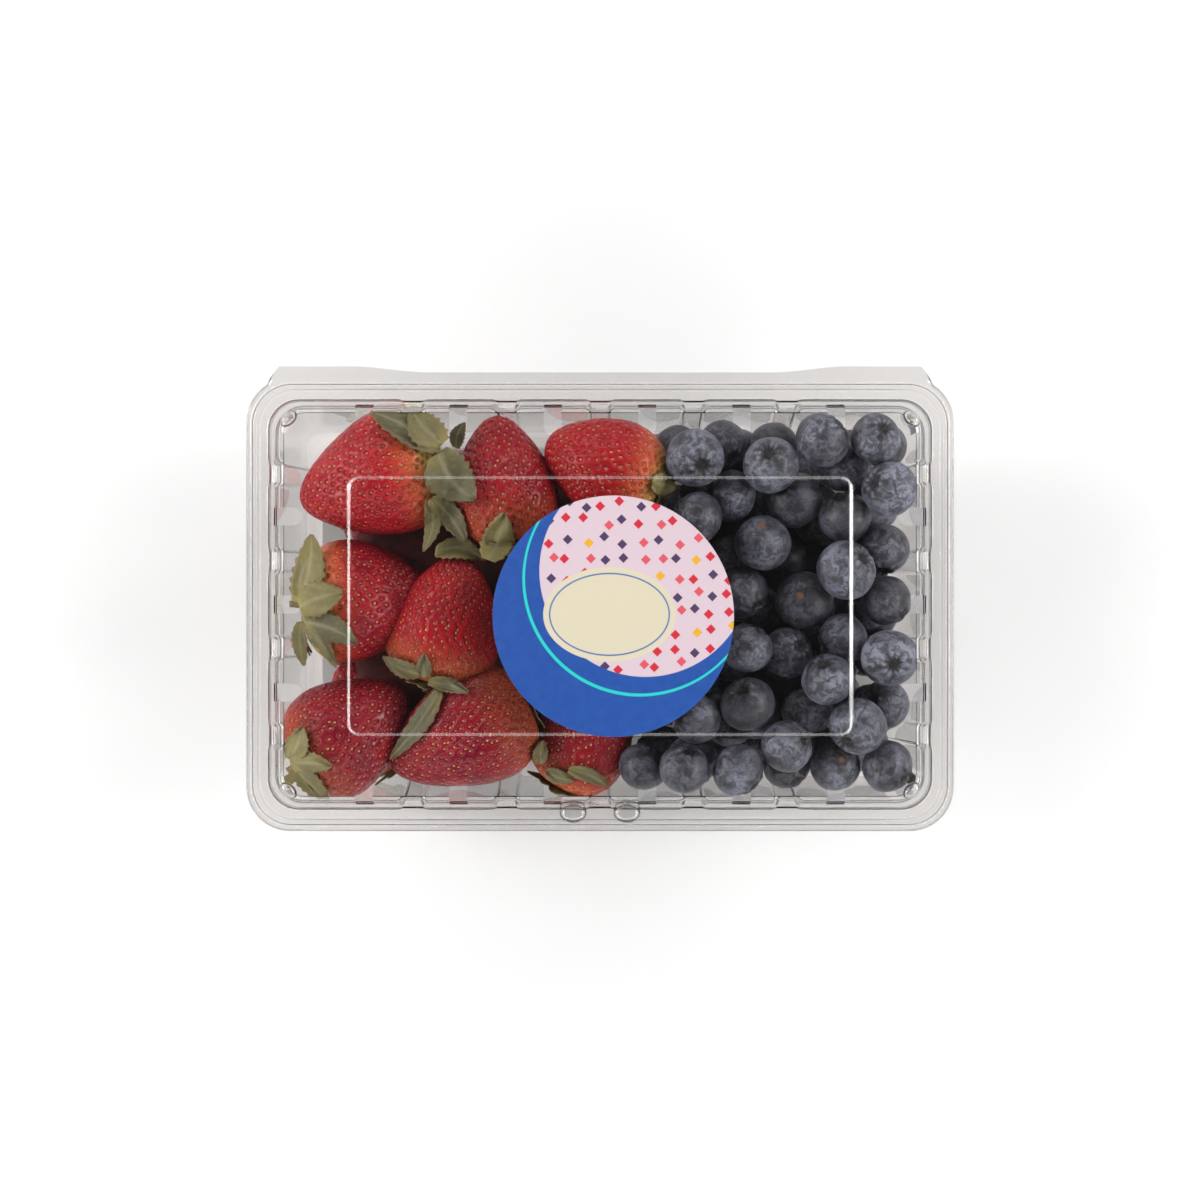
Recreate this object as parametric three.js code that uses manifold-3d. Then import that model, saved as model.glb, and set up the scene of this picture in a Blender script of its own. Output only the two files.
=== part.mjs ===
// A punnet of mixed berries: a clear hinged clamshell box, shut, with strawberries heaped
// on its left, blueberries on its right and a round paper label on its lid.
// Millimetres. +X is the punnet's right, +Y its hinge side and +Z up. The origin is on the
// surface that it stands on, under the middle of its whole outline.
import * as THREE from 'three';
import { mergeVertices } from 'three/addons/utils/BufferGeometryUtils.js';
import Module from 'manifold-3d';

const wasm = await Module();
wasm.setup();

// ---- Driving dimensions -------------------------------------------------------------

const RIM = { x: 190, y: 122 };           // outline of the rim that both halves share
const WHOLE_HEIGHT = 64;                  // from the floor to the top of the label
const RIM_TOP = 50;                       // height of the tray's rim
const WALL = 0.6;                         // thickness of the plastic
const GAP = 0.3;                          // air between separate pieces
const HINGE_REACH = 2.8;                  // how far the folded hinge stands out behind
const TRAY_Y = -HINGE_REACH / 2;          // the tray's middle, so that the whole is centred

const CORNER_RADIUS = 12;                 // the rim's corners, in plan
const CORNER_SHRINK = 0.62;               // how much tighter they get for each mm inwards
const CORNER_STEPS = 4;

const LABEL = { radius: 31.9, thickness: 0.25, lift: 0.05, x: 3.5, y: -3.1, sides: 48 };
const PLATEAU = { x: 134.3, y: 69.4, radius: 3, rise: 1.3, slope: 0.9, hollow: 1.08, y0: -0.4 };
const PLATEAU_TOP = WHOLE_HEIGHT - LABEL.thickness - LABEL.lift;
const PANEL_TOP = PLATEAU_TOP - PLATEAU.rise;
const LID_RIM = RIM_TOP + GAP + WALL;     // top face of the lid's rim

// Ribs are narrow upright valleys in the walls. Their distances from the middle of a long
// or a short side, and those of the vent slots between them:
const RIB = { width: 7.5, slope: 2.4 };
const LONG_RIBS = [-50, -25, 0, 25, 50];
const SHORT_RIBS = [-35, -11.7, 11.7, 35];
const LONG_VENTS = [-62.5, -37.5, -12.5, 12.5, 37.5, 62.5];
const SHORT_VENTS = [-23.3, 0, 23.3];
const VENT = { width: 4.8, start: 8.2, end: 16.2, down: 6, up: 1, arc: 2 };

// A section runs from the flat middle out to the rim's edge. Each point is its distance in
// from that edge along X and along Y, its height, and the depth of the ribs there.
const LID_SECTION = [
  [11.3, 10.2, PANEL_TOP, 0],
  [9.6, 9.0, PANEL_TOP - 1.2, 0.4],
  [6.1, 6.1, LID_RIM, 1.4],
  [4.0, 4.0, LID_RIM, 0],
  [3.4, 3.4, LID_RIM + 1.2, 0],
  [2.2, 2.2, LID_RIM + 1.2, 0],
  [1.6, 1.6, LID_RIM, 0],
  [0, 0, LID_RIM, 0],
];
const LEDGE = RIM_TOP - 5;
const TRAY_SECTION = [
  [14.4, 14.4, WALL, 1.0],
  [12.9, 12.9, WALL + 1.4, 1.4],
  [7.9, 7.9, LEDGE, 1.4],
  [7.2, 7.2, LEDGE + 0.8, 0],
  [6.7, 6.7, RIM_TOP, 0],
  [0, 0, RIM_TOP, 0],
];
const FOOT_PANEL = { x: 124, y: 56, radius: 6, rise: 1.6, slope: 1.6, hollow: 2.24 };

const HINGE = { length: 172, splay: 4, middle: 1.6, ends: 20 };
const LUG = { x: 82.4, y: 49.2, long: 2.6, deep: 1.8, high: 1.6 };
const LATCH = { apart: 14.4, long: 3.6, deep: 2.6, high: 2.4, inset: 5.2 };
const DOME = { sides: 8, leans: [Math.PI / 4, 0] };

// The room for the contents: how far its sides lie in from the rim's edge at two heights.
const ROOM = {
  floor: WALL + FOOT_PANEL.rise + GAP, low: 15.4, high: 9.4, top: 54.6, radius: 6,
};

// ---- Strawberries -------------------------------------------------------------------

// Each is its middle, the way its tip points, its length and width, and the radius of its
// crown of leaves, which is 0 where the crown is buried.
const STRAWBERRIES = [
  { at: [-61.5, 34.0, 39.0], tip: [-0.95, -0.31, 0.02], length: 41, width: 32, crown: 20 },
  { at: [-26.5, 33.0, 37.5], tip: [-0.10, 0.97, -0.20], length: 37, width: 27, crown: 12 },
  { at: [1.0, 37.0, 39.5], tip: [-0.90, 0.42, 0.05], length: 34, width: 27, crown: 9 },
  { at: [-62.5, 1.0, 36.0], tip: [0.99, 0.05, -0.10], length: 38, width: 33, crown: 19 },
  { at: [-41.5, -4.0, 40.0], tip: [0.26, 0.95, 0.15], length: 36, width: 29.5, crown: 14 },
  { at: [-67.5, -33.8, 36.5], tip: [0.82, 0.55, 0.05], length: 36, width: 31.5, crown: 15 },
  { at: [-37.5, -35.0, 38.5], tip: [-0.90, -0.42, 0.05], length: 42, width: 30, crown: 10 },
  { at: [-4.0, -35.0, 31.0], tip: [0.40, 0.86, 0.30], length: 33, width: 26, crown: 12 },
  { at: [-13.5, 3.0, 38.5], tip: [-0.30, -0.94, 0.10], length: 33, width: 27, crown: 11 },
  { at: [8.0, 5.5, 36.5], tip: [0.25, -0.96, 0.00], length: 33, width: 25, crown: 10 },
  { at: [-63.5, 29.5, 15.0], tip: [0.30, -0.95, 0.05], length: 33, width: 27, crown: 0 },
  { at: [-35.0, 30.5, 14.5], tip: [0.95, 0.30, 0.05], length: 31, width: 26, crown: 0 },
  { at: [-6.0, 30.0, 14.8], tip: [-0.60, -0.80, 0.10], length: 32, width: 27, crown: 0 },
  { at: [-63.5, -1.0, 14.8], tip: [0.05, 0.95, -0.30], length: 32, width: 27, crown: 0 },
  { at: [-34.0, 0.0, 15.0], tip: [0.70, -0.70, 0.10], length: 33, width: 27, crown: 0 },
  { at: [-5.5, -1.0, 15.5], tip: [0.20, 0.95, 0.20], length: 34, width: 28, crown: 0 },
  { at: [-63.0, -30.5, 14.8], tip: [-0.50, 0.85, 0.10], length: 33, width: 27, crown: 0 },
  { at: [-34.0, -30.5, 14.6], tip: [0.97, 0.20, 0.05], length: 32, width: 26.5, crown: 0 },
  { at: [-5.5, -30.0, 14.6], tip: [-0.95, 0.25, 0.05], length: 31, width: 26, crown: 0 },
];
// A strawberry's outline: how far along its length, from the shoulder to the tip, and its
// radius there as a share of the largest.
const STRAWBERRY_OUTLINE = [
  [0.06, 0.66], [0.24, 0.99], [0.48, 0.95], [0.72, 0.73], [0.92, 0.37],
];
const STRAWBERRY_HEAD = 0.03;             // where the hollow under the crown ends, along its length
const STRAWBERRY_LOBES = 0.04;            // how much wider it is one way than the other
const STRAWBERRY_SIDES = { upper: 8, lower: 6 };
const CROWN = {
  sepals: 5, waist: 0.5, droop: 0.3, lift: 0.6, thickness: 0.9, uneven: [0.8, 1.1],
  stem: 1.6, stemLength: 3, stemSides: 5,
};
// A crown's rings: their reach as a share of the crown's radius, how high they lie in
// thicknesses of a leaf, and how much of that reach the leaves' tips have.
const CROWN_RINGS = [[0.45, -1, 1], [1, 0, 1], [0.4, 2, 0.8]];
// Balls that stand for a strawberry where blueberries lie against it: how far along from its
// middle, and their radius as a share of its width.
const STRAWBERRY_BALLS = [[-0.17, 0.5], [0.05, 0.45], [0.28, 0.29]];

// Each heap's core: its span along X, how far it stays in from the walls, and its heights.
const STRAWBERRY_CORE = { x: [-74, 6], y: 38, low: 6, high: 36, spread: 5 };
const BLUEBERRY_CORE = { x: [19, 77], y: 43, low: 4, high: 42, spread: 4 };

// ---- Blueberries --------------------------------------------------------------------

// Those that show from above: place in plan and diameter, the uppermost first.
const TOP_BLUEBERRIES = [
  [24.1, 39.5, 16.1], [46.4, 37.7, 15.6], [79.0, 33.4, 15.6], [53.1, 28.3, 15.6],
  [43.9, 16.5, 15.6], [66.1, 9.5, 16.6], [55.5, 0.2, 16.1], [78.0, -14.3, 15.6],
  [69.2, -32.4, 16.1], [39.6, -26.8, 15.0], [79.3, 15.1, 15.0], [37.4, -45.0, 14.5],
  [63.6, -45.6, 14.0], [59.9, 45.8, 15.0], [74.8, 45.8, 14.0], [78.6, -43.7, 14.5],
  [22.7, -43.7, 14.0], [35.5, 29.6, 14.5], [61.8, -20.5, 14.5], [78.6, 1.0, 14.0],
  [66.1, 23.6, 14.5], [49.8, -38.6, 14.5], [66.1, 38.2, 14.0], [33.0, 46.6, 14.0],
  [46.2, 46.8, 14.0], [26.2, 23.3, 14.4], [19.0, 46.6, 14.0], [38.6, 3.3, 14.6],
  [51.2, -12.4, 14.0], [39.3, -11.7, 14.2], [65.7, -9.5, 14.0], [79.6, -27.5, 14.0],
  [56.1, -29.2, 14.0], [26.0, -31.1, 14.0], [11.7, -45.0, 13.6], [26.0, 8.0, 14.6],
  [26.4, -8.0, 14.8], [25.8, -20.0, 14.2], [52.0, -46.0, 13.4], [80.0, 44.6, 13.0],
];
const BLUEBERRY = { top: 46.8, mean: 14.8, spread: 1.6 };
// The ones below lie in layers of staggered rows: the distance along a row, a row's distance
// from the next as a share of it, a layer's height, where the rows end on the left, and how
// near to one that shows, as a share of both radii, a place is left empty.
const LAYERS = { count: 3, pitch: 14.9, row: 0.87, height: 12.2, left: 17, near: 0.75 };
const DRAW = { y: 500, z: 900 };          // first numbers of the random draws for their places
const SECOND_LAYER = 9;                   // how far below the uppermost the next ones may lie
const SWELL = { upper: 1.02, lower: 1.04 };     // keeps a faceted ball as large as a round one
const SETTLING = { rounds: 200, pull: 0.12, sink: 0.04 };

// ---- Small tools --------------------------------------------------------------------

const mix = (a, b, t) => a + (b - a) * t;

// An even, repeatable number from 0 to 1 for each whole number.
const scatter = (n) => {
  const s = Math.sin(n * 12.9898 + 4.1414) * 43758.5453;
  return s - Math.floor(s);
};

// A closed surface through rings of points, anticlockwise seen from the first end, with a
// fan to a point at both ends. Rings of unlike counts are zipped by their shorter diagonals.
function loft(first, rings, last) {
  const points = [first, ...rings.flat(), last];
  const end = points.length - 1;
  const away = (a, b) => Math.hypot(...points[a].map((value, i) => value - points[b][i]));
  const faces = [];
  let start = 1;
  rings.forEach((ring, n) => {
    const near = (i) => start + (i % ring.length);
    if (n === 0) ring.forEach((_, i) => faces.push(0, near(i), near(i + 1)));
    if (n === rings.length - 1) {
      ring.forEach((_, i) => faces.push(end, near(i + 1), near(i)));
      return;
    }
    const next = rings[n + 1];
    const far = (j) => start + ring.length + (j % next.length);
    const alike = next.length === ring.length;
    let i = 0;
    let j = 0;
    while (i < ring.length || j < next.length) {
      const shorter = away(near(i + 1), far(j)) < away(near(i), far(j + 1));
      const onNear = j === next.length || (i < ring.length && (alike ? i < j : shorter));
      if (onNear) faces.push(near(i), far(j), near(i + 1));
      else faces.push(near(i), far(j), far(j + 1));
      if (onNear) i += 1;
      else j += 1;
    }
    start += ring.length;
  });
  const geometry = new THREE.BufferGeometry();
  geometry.setAttribute('position', new THREE.Float32BufferAttribute(points.flat(), 3));
  geometry.setIndex(faces);
  return geometry;
}

// A geometry as a solid that can be joined and cut.
function solid(geometry) {
  const bare = geometry.clone();
  bare.deleteAttribute('normal');
  bare.deleteAttribute('uv');
  const merged = mergeVertices(bare, 1e-4);
  const vertProperties = Float32Array.from(merged.attributes.position.array);
  const triVerts = Uint32Array.from(merged.index.array);
  return new wasm.Manifold(new wasm.Mesh({ numProp: 3, vertProperties, triVerts }));
}

const join = (solids) => solids.reduce((all, one) => all.add(one));

// The largest body of a solid, without the scraps that a cut leaves.
const largest = (cut) => cut.decompose().reduce((a, b) => (a.volume() > b.volume() ? a : b));

function mesh(name, made, colour, roughness, opacity = 1) {
  const cut = made.getMesh();
  const geometry = new THREE.BufferGeometry();
  geometry.setAttribute('position', new THREE.BufferAttribute(cut.vertProperties, 3));
  geometry.setIndex(new THREE.BufferAttribute(cut.triVerts, 1));
  const material = new THREE.MeshStandardMaterial({
    color: colour, roughness, metalness: 0, opacity, transparent: opacity < 1,
  });
  const result = new THREE.Mesh(geometry, material);
  result.name = name;
  return result;
}

// ---- The clamshell ------------------------------------------------------------------

// The stations round a rounded rectangle, anticlockwise from its right side's back end.
// A corner's stations turn round its arc; a side's are the edges of its ribs.
function stations(longRibs, shortRibs) {
  const list = [];
  for (let corner = 0; corner < 4; corner++) {
    for (let k = 0; k <= CORNER_STEPS; k++) {
      list.push({ side: corner, turn: (k / CORNER_STEPS) * (Math.PI / 2), rib: 0 });
    }
    const side = (corner + 1) % 4;
    const half = RIB.width / 2;
    for (const at of side % 2 ? longRibs : shortRibs) {
      list.push({ side, at: at - half, rib: 0 });
      list.push({ side, at: at - half + RIB.slope, rib: 1 });
      list.push({ side, at: at + half - RIB.slope, rib: 1 });
      list.push({ side, at: at + half, rib: 0 });
    }
  }
  return list;
}
const PLAIN = stations([], []);
const RIBBED = stations(LONG_RIBS, SHORT_RIBS);

// Where a station lies on a rounded rectangle of half sizes x and y.
function stationPoint(station, x, y, radius, z, depth) {
  const across = station.side % 2 ? y : x;
  const along = station.side % 2 ? x : y;
  let out = across - depth * station.rib;
  let on = station.at;
  if (station.turn !== undefined) {
    out = across - radius + radius * Math.cos(station.turn);
    on = along - radius + radius * Math.sin(station.turn);
  }
  const [c, s] = [[1, 0], [0, 1], [-1, 0], [0, -1]][station.side];
  return [c * out - s * on, TRAY_Y + s * out + c * on, z];
}

// The underside of a section: each point moved square to both of its lines by the wall.
function underside(section) {
  const steps = section.map(([inset, , z], i) => {
    const next = section[i + 1];
    if (!next) return [1, 0];
    const length = Math.hypot(inset - next[0], next[2] - z);
    return [(inset - next[0]) / length, (next[2] - z) / length];
  });
  return section.map(([insetX, insetY, z, depth], i) => {
    const before = i ? steps[i - 1] : [1, 0];
    const after = steps[i];
    const nx = -before[1] - after[1];
    const nz = before[0] + after[0];
    const share = WALL * 2 / (nx * nx + nz * nz);
    return [insetX + nx * share, insetY + nx * share, z - nz * share, depth];
  });
}

// A thin shell: its top face from the middle out, round the rim's edge and back beneath.
function shell(section) {
  const ring = ([insetX, insetY, z, depth]) => {
    const radius = CORNER_RADIUS - CORNER_SHRINK * insetY;
    return (depth ? RIBBED : PLAIN).map((s) =>
      stationPoint(s, RIM.x / 2 - insetX, RIM.y / 2 - insetY, radius, z, depth));
  };
  const under = underside(section);
  const rings = [...section, ...under.reverse()].map(ring);
  const middle = (z) => [0, TRAY_Y, z];
  return solid(loft(middle(section[0][2]), rings, middle(section[0][2] - WALL)));
}

// A low block with sloping sides on a rounded rectangle, smaller at its top.
function block(x, y, radius, bottom, top, slope, shift = 0) {
  const ring = (inset, z) => PLAIN.map((s) => {
    const [px, py] = stationPoint(s, x / 2 - inset, y / 2 - inset, radius, z, 0);
    return [px, py + shift, z];
  });
  const at = (z) => [0, TRAY_Y + shift, z];
  return solid(loft(at(top), [ring(slope, top), ring(0, bottom)], at(bottom)));
}

// A slot that is open towards the wall and round at its inner end, cut through the shoulder.
function vent(bottom, top, x, y, turn) {
  const half = VENT.width / 2;
  const shape = new THREE.Shape();
  shape.moveTo(0, -half);
  shape.lineTo(VENT.end - VENT.start - half, -half);
  shape.absarc(VENT.end - VENT.start - half, 0, half, -Math.PI / 2, Math.PI / 2, false);
  shape.lineTo(0, half);
  const geometry = new THREE.ExtrudeGeometry(shape, {
    depth: top - bottom, bevelEnabled: false, curveSegments: VENT.arc,
  });
  geometry.rotateZ(turn);
  geometry.translate(x, y, bottom);
  return solid(geometry);
}

// All the vents, as one solid to take away from the lid.
function vents() {
  const bottom = PANEL_TOP - VENT.down;
  const top = PANEL_TOP + VENT.up;
  const outX = RIM.x / 2 - VENT.start;
  const outY = RIM.y / 2 - VENT.start;
  const cuts = [];
  for (const x of LONG_VENTS) {
    cuts.push(vent(bottom, top, x, TRAY_Y - outY, Math.PI / 2));
    cuts.push(vent(bottom, top, x, TRAY_Y + outY, -Math.PI / 2));
  }
  for (const y of SHORT_VENTS) {
    cuts.push(vent(bottom, top, -outX, TRAY_Y + y, 0));
    cuts.push(vent(bottom, top, outX, TRAY_Y + y, Math.PI));
  }
  return join(cuts);
}

// One leaf of the hinge: a strip behind the rim, splayed at its ends and drawn in between.
function hingeLeaf(bottom) {
  const root = TRAY_Y + RIM.y / 2 - 1;
  const edge = TRAY_Y + RIM.y / 2 + HINGE_REACH;
  const half = HINGE.length / 2;
  const shape = new THREE.Shape();
  shape.moveTo(-half + HINGE.splay, root);
  shape.lineTo(half - HINGE.splay, root);
  shape.lineTo(half, edge);
  shape.lineTo(half - HINGE.ends, edge);
  shape.lineTo(half - HINGE.ends * 2, edge - HINGE.middle);
  shape.lineTo(-half + HINGE.ends * 2, edge - HINGE.middle);
  shape.lineTo(-half + HINGE.ends, edge);
  shape.lineTo(-half, edge);
  const geometry = new THREE.ExtrudeGeometry(shape, { depth: WALL, bevelEnabled: false });
  geometry.translate(0, 0, bottom);
  return solid(geometry);
}

// A low dome on an oval foot, for the corner lugs and the two halves of the latch.
function dome(x, y, z, { long, deep, high }, turn) {
  const ring = (lean) => {
    const points = [];
    for (let j = 0; j < DOME.sides; j++) {
      const angle = 2 * Math.PI * j / DOME.sides;
      const across = long * Math.cos(angle) * Math.cos(lean);
      const inward = deep * Math.sin(angle) * Math.cos(lean);
      points.push([
        x + across * Math.cos(turn) - inward * Math.sin(turn),
        y + across * Math.sin(turn) + inward * Math.cos(turn),
        z + high * Math.sin(lean),
      ]);
    }
    return points;
  };
  return solid(loft([x, y, z + high], DOME.leans.map(ring), [x, y, z]));
}

function tray() {
  const rise = block(FOOT_PANEL.x, FOOT_PANEL.y, FOOT_PANEL.radius,
    WALL / 2, WALL + FOOT_PANEL.rise, FOOT_PANEL.slope);
  const hollow = block(FOOT_PANEL.x - 2 * WALL, FOOT_PANEL.y - 2 * WALL, FOOT_PANEL.radius,
    -WALL, FOOT_PANEL.rise, FOOT_PANEL.hollow);
  const body = join([shell(TRAY_SECTION), hingeLeaf(RIM_TOP - WALL), rise]);
  return body.subtract(hollow);
}

function lid() {
  const parts = [shell(LID_SECTION), hingeLeaf(LID_RIM - WALL)];
  parts.push(block(PLATEAU.x, PLATEAU.y, PLATEAU.radius,
    PANEL_TOP - WALL / 2, PLATEAU_TOP, PLATEAU.slope, PLATEAU.y0));
  for (const [sx, sy] of [[1, 1], [-1, 1], [-1, -1], [1, -1]]) {
    const turn = -sx * sy * Math.PI / 4;
    parts.push(dome(sx * LUG.x, TRAY_Y + sy * LUG.y, PANEL_TOP - WALL / 2, LUG, turn));
  }
  for (const side of [-1, 1]) {
    const y = TRAY_Y - RIM.y / 2 + LATCH.inset;
    parts.push(dome(side * LATCH.apart / 2, y, LID_RIM - WALL / 2, LATCH, 0));
  }
  const hollow = block(PLATEAU.x - 2 * WALL, PLATEAU.y - 2 * WALL, PLATEAU.radius,
    PANEL_TOP - 2 * WALL, PLATEAU_TOP - WALL, PLATEAU.hollow, PLATEAU.y0);
  return join(parts).subtract(hollow).subtract(vents());
}

function label() {
  const geometry = new THREE.CylinderGeometry(
    LABEL.radius, LABEL.radius, LABEL.thickness, LABEL.sides);
  geometry.rotateX(Math.PI / 2);
  geometry.translate(LABEL.x, TRAY_Y + LABEL.y, WHOLE_HEIGHT - LABEL.thickness / 2);
  return solid(geometry);
}

// ---- The contents -------------------------------------------------------------------

// How far from the middle of the tray its walls leave room at a height.
function room(z) {
  const inset = mix(ROOM.low, ROOM.high, Math.min(1, z / LEDGE));
  return { x: RIM.x / 2 - inset, y: RIM.y / 2 - inset };
}

// The room itself as a solid, to trim what the heaps hold.
function roomSolid() {
  const ring = (z) => {
    const { x, y } = room(z);
    return PLAIN.map((s) => stationPoint(s, x, y, ROOM.radius, z, 0));
  };
  const rings = [ROOM.top, RIM_TOP, LEDGE, ROOM.floor].map(ring);
  return solid(loft([0, TRAY_Y, ROOM.top], rings, [0, TRAY_Y, ROOM.floor]));
}

// A frame whose third axis points along a direction.
function frameAlong(direction) {
  const w = new THREE.Vector3(...direction).normalize();
  const u = new THREE.Vector3(0, 0, 1).cross(w).normalize();
  const v = w.clone().cross(u);
  return { u, v, w };
}

function place(frame, at, a, b, c) {
  return [0, 1, 2].map((i) => at[i] + a * frame.u.getComponent(i)
    + b * frame.v.getComponent(i) + c * frame.w.getComponent(i));
}

// A strawberry's body: rings round its axis from the shoulder to the tip, grown by a skin.
function strawberryBody({ at, tip, length, width, crown }, seed, skin) {
  const sides = crown ? STRAWBERRY_SIDES.upper : STRAWBERRY_SIDES.lower;
  const frame = frameAlong(tip);
  const middle = [at[0], at[1] + TRAY_Y, at[2]];
  const long = length + 2 * skin;
  const rings = STRAWBERRY_OUTLINE.map(([along, share]) => {
    const ring = [];
    for (let j = 0; j < sides; j++) {
      const angle = -2 * Math.PI * j / sides;
      const lobes = 1 + STRAWBERRY_LOBES * Math.cos(2 * angle + 6 * scatter(seed));
      const r = (width / 2 + skin) * share * lobes;
      ring.push(place(frame, middle, r * Math.cos(angle), r * Math.sin(angle),
        (along - 0.5) * long));
    }
    return ring;
  });
  const head = place(frame, middle, 0, 0, (STRAWBERRY_HEAD - 0.5) * long);
  return solid(loft(head, rings, place(frame, middle, 0, 0, long / 2)));
}

// A strawberry's crown: a star of leaves that droops from the stem over the shoulder.
function strawberryCrown({ at, tip, length, width, crown }, seed) {
  const frame = frameAlong(tip);
  const middle = [at[0], at[1] + TRAY_Y, at[2]];
  const count = CROWN.sepals * 2;
  const fall = (r) => -length / 2 - CROWN.lift + CROWN.droop * r * r / (width / 2);
  const ring = (share, lift, tipShare) => {
    const points = [];
    for (let j = 0; j < count; j++) {
      const angle = -2 * Math.PI * (j + 0.3 * scatter(seed + j)) / count;
      const uneven = mix(...CROWN.uneven, scatter(seed + 3 * j));
      const r = crown * (j % 2 ? share * CROWN.waist : share * tipShare * uneven);
      points.push(place(frame, middle, r * Math.cos(angle), r * Math.sin(angle),
        fall(r) + lift));
    }
    return points;
  };
  const t = CROWN.thickness;
  const rings = CROWN_RINGS.map(([share, lift, tipShare]) => ring(share, lift * t, tipShare));
  const leaves = solid(loft(place(frame, middle, 0, 0, fall(0) - t), rings,
    place(frame, middle, 0, 0, fall(0) + 3 * t)));
  const stemRing = (z) => Array.from({ length: CROWN.stemSides }, (_, j) => {
    const angle = -2 * Math.PI * j / CROWN.stemSides;
    return place(frame, middle, CROWN.stem * Math.cos(angle), CROWN.stem * Math.sin(angle), z);
  });
  const low = fall(0) - CROWN.stemLength;
  const stem = solid(loft(place(frame, middle, 0, 0, low),
    [stemRing(low), stemRing(fall(0) + t)], place(frame, middle, 0, 0, fall(0) + t)));
  return leaves.add(stem);
}

// The smaller core that a heap's pieces are fused to, a little narrower at its foot.
function core({ x, y, low, high, spread }) {
  const made = block(x[1] - x[0] - 2 * spread, 2 * (y - spread), spread, low, high, -spread);
  return made.translate([(x[0] + x[1]) / 2, 0, 0]);
}

function strawberryHeap(skin) {
  const parts = [core(STRAWBERRY_CORE)];
  STRAWBERRIES.forEach((berry, i) => {
    parts.push(strawberryBody(berry, i + 1, skin));
    if (berry.crown) parts.push(strawberryCrown(berry, 10 * i + 7));
  });
  return largest(join(parts).intersect(roomSolid()));
}

// The height that lets a berry clear those already placed above it, within two layers.
function restBelow(placed, x, y, r) {
  let z = BLUEBERRY.top;
  for (const other of placed) {
    const flat = Math.hypot(x - other.x, y - other.y);
    const reach = r + other.r;
    if (flat < reach) z = Math.min(z, other.z - Math.sqrt(reach * reach - flat * flat));
  }
  return Math.max(z, BLUEBERRY.top - SECOND_LAYER);
}

// Three balls inside each strawberry, which the blueberries keep clear of.
function strawberryBalls() {
  return STRAWBERRIES.flatMap(({ at, tip, length, width }) => {
    const { w } = frameAlong(tip);
    return STRAWBERRY_BALLS.map(([along, share]) => ({
      x: at[0] + w.x * along * length,
      y: at[1] + w.y * along * length,
      z: at[2] + w.z * along * length,
      r: share * width,
      fixed: true,
    }));
  });
}

// Pushes overlapping balls apart and back between the walls, round after round. A ball
// with a home is drawn back towards it in plan.
function settle(balls) {
  for (let round = 0; round < SETTLING.rounds; round++) {
    for (let i = 0; i < balls.length; i++) {
      for (let j = i + 1; j < balls.length; j++) {
        const [a, b] = [balls[i], balls[j]];
        if (a.fixed && b.fixed) continue;
        const [dx, dy, dz] = [b.x - a.x, b.y - a.y, b.z - a.z];
        const apart = Math.hypot(dx, dy, dz);
        const push = (a.r + b.r - apart) / apart;
        if (push <= 0) continue;
        const shareA = a.fixed ? 0 : b.fixed ? 1 : 0.5;
        const shareB = 1 - shareA;
        a.x -= dx * push * shareA;
        a.y -= dy * push * shareA;
        a.z -= dz * push * shareA;
        b.x += dx * push * shareB;
        b.y += dy * push * shareB;
        b.z += dz * push * shareB;
      }
    }
    for (const ball of balls) {
      if (ball.fixed) continue;
      const { x, y } = room(ball.z);
      if (ball.home) {
        ball.x = mix(ball.x, ball.home[0], SETTLING.pull);
        ball.y = mix(ball.y, ball.home[1], SETTLING.pull);
      } else {
        ball.z -= SETTLING.sink;
      }
      ball.x = Math.min(ball.x, x - ball.r);
      ball.y = Math.max(ball.r - y, Math.min(ball.y, y - ball.r));
      ball.z = Math.max(ROOM.floor + ball.r, Math.min(ball.z, ROOM.top - ball.r));
    }
  }
}

function placeBlueberries() {
  const placed = [];
  for (const [x, y, diameter] of TOP_BLUEBERRIES) {
    const r = diameter / 2;
    const limit = room(BLUEBERRY.top);
    const bx = Math.min(x, limit.x - r);
    const by = Math.max(r - limit.y, Math.min(y, limit.y - r));
    placed.push({ x: bx, y: by, z: restBelow(placed, bx, by, r), r, home: [bx, by] });
  }
  const top = placed.slice();
  let n = 0;
  for (let layer = 0; layer < LAYERS.count; layer++) {
    const z = ROOM.floor + BLUEBERRY.mean / 2 + layer * LAYERS.height;
    const { x: right, y: back } = room(z);
    const rows = Math.floor((2 * back) / (LAYERS.pitch * LAYERS.row));
    for (let row = 0; row < rows; row++) {
      const y = mix(-back, back, (row + 0.5) / rows);
      const shift = (row + layer) % 2 ? LAYERS.pitch / 2 : 0;
      for (let x = right - BLUEBERRY.mean / 2 - shift; x > LAYERS.left; x -= LAYERS.pitch) {
        n += 1;
        const r = (BLUEBERRY.mean + BLUEBERRY.spread * (scatter(n) - 0.5)) / 2;
        const clear = (other) =>
          Math.hypot(x - other.x, y - other.y, z - other.z) > LAYERS.near * (r + other.r);
        if (!top.every(clear)) continue;
        placed.push({
          x, y: y + scatter(n + DRAW.y) - 0.5, z: z + scatter(n + DRAW.z) - 0.5, r,
        });
      }
    }
  }
  settle([...placed, ...strawberryBalls()]);
  return placed;
}

// A blueberry of few sides, and fewer lower down, turned so that no two look alike.
function blueberry({ x, y, z, r }, seed) {
  const upper = z > BLUEBERRY_CORE.high;
  const geometry = upper ? new THREE.IcosahedronGeometry(r * SWELL.upper, 1)
    : new THREE.OctahedronGeometry(r * SWELL.lower, 1);
  geometry.rotateX(6 * scatter(seed));
  geometry.rotateY(6 * scatter(seed + 40));
  geometry.translate(x, y + TRAY_Y, z);
  return solid(geometry);
}

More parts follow.
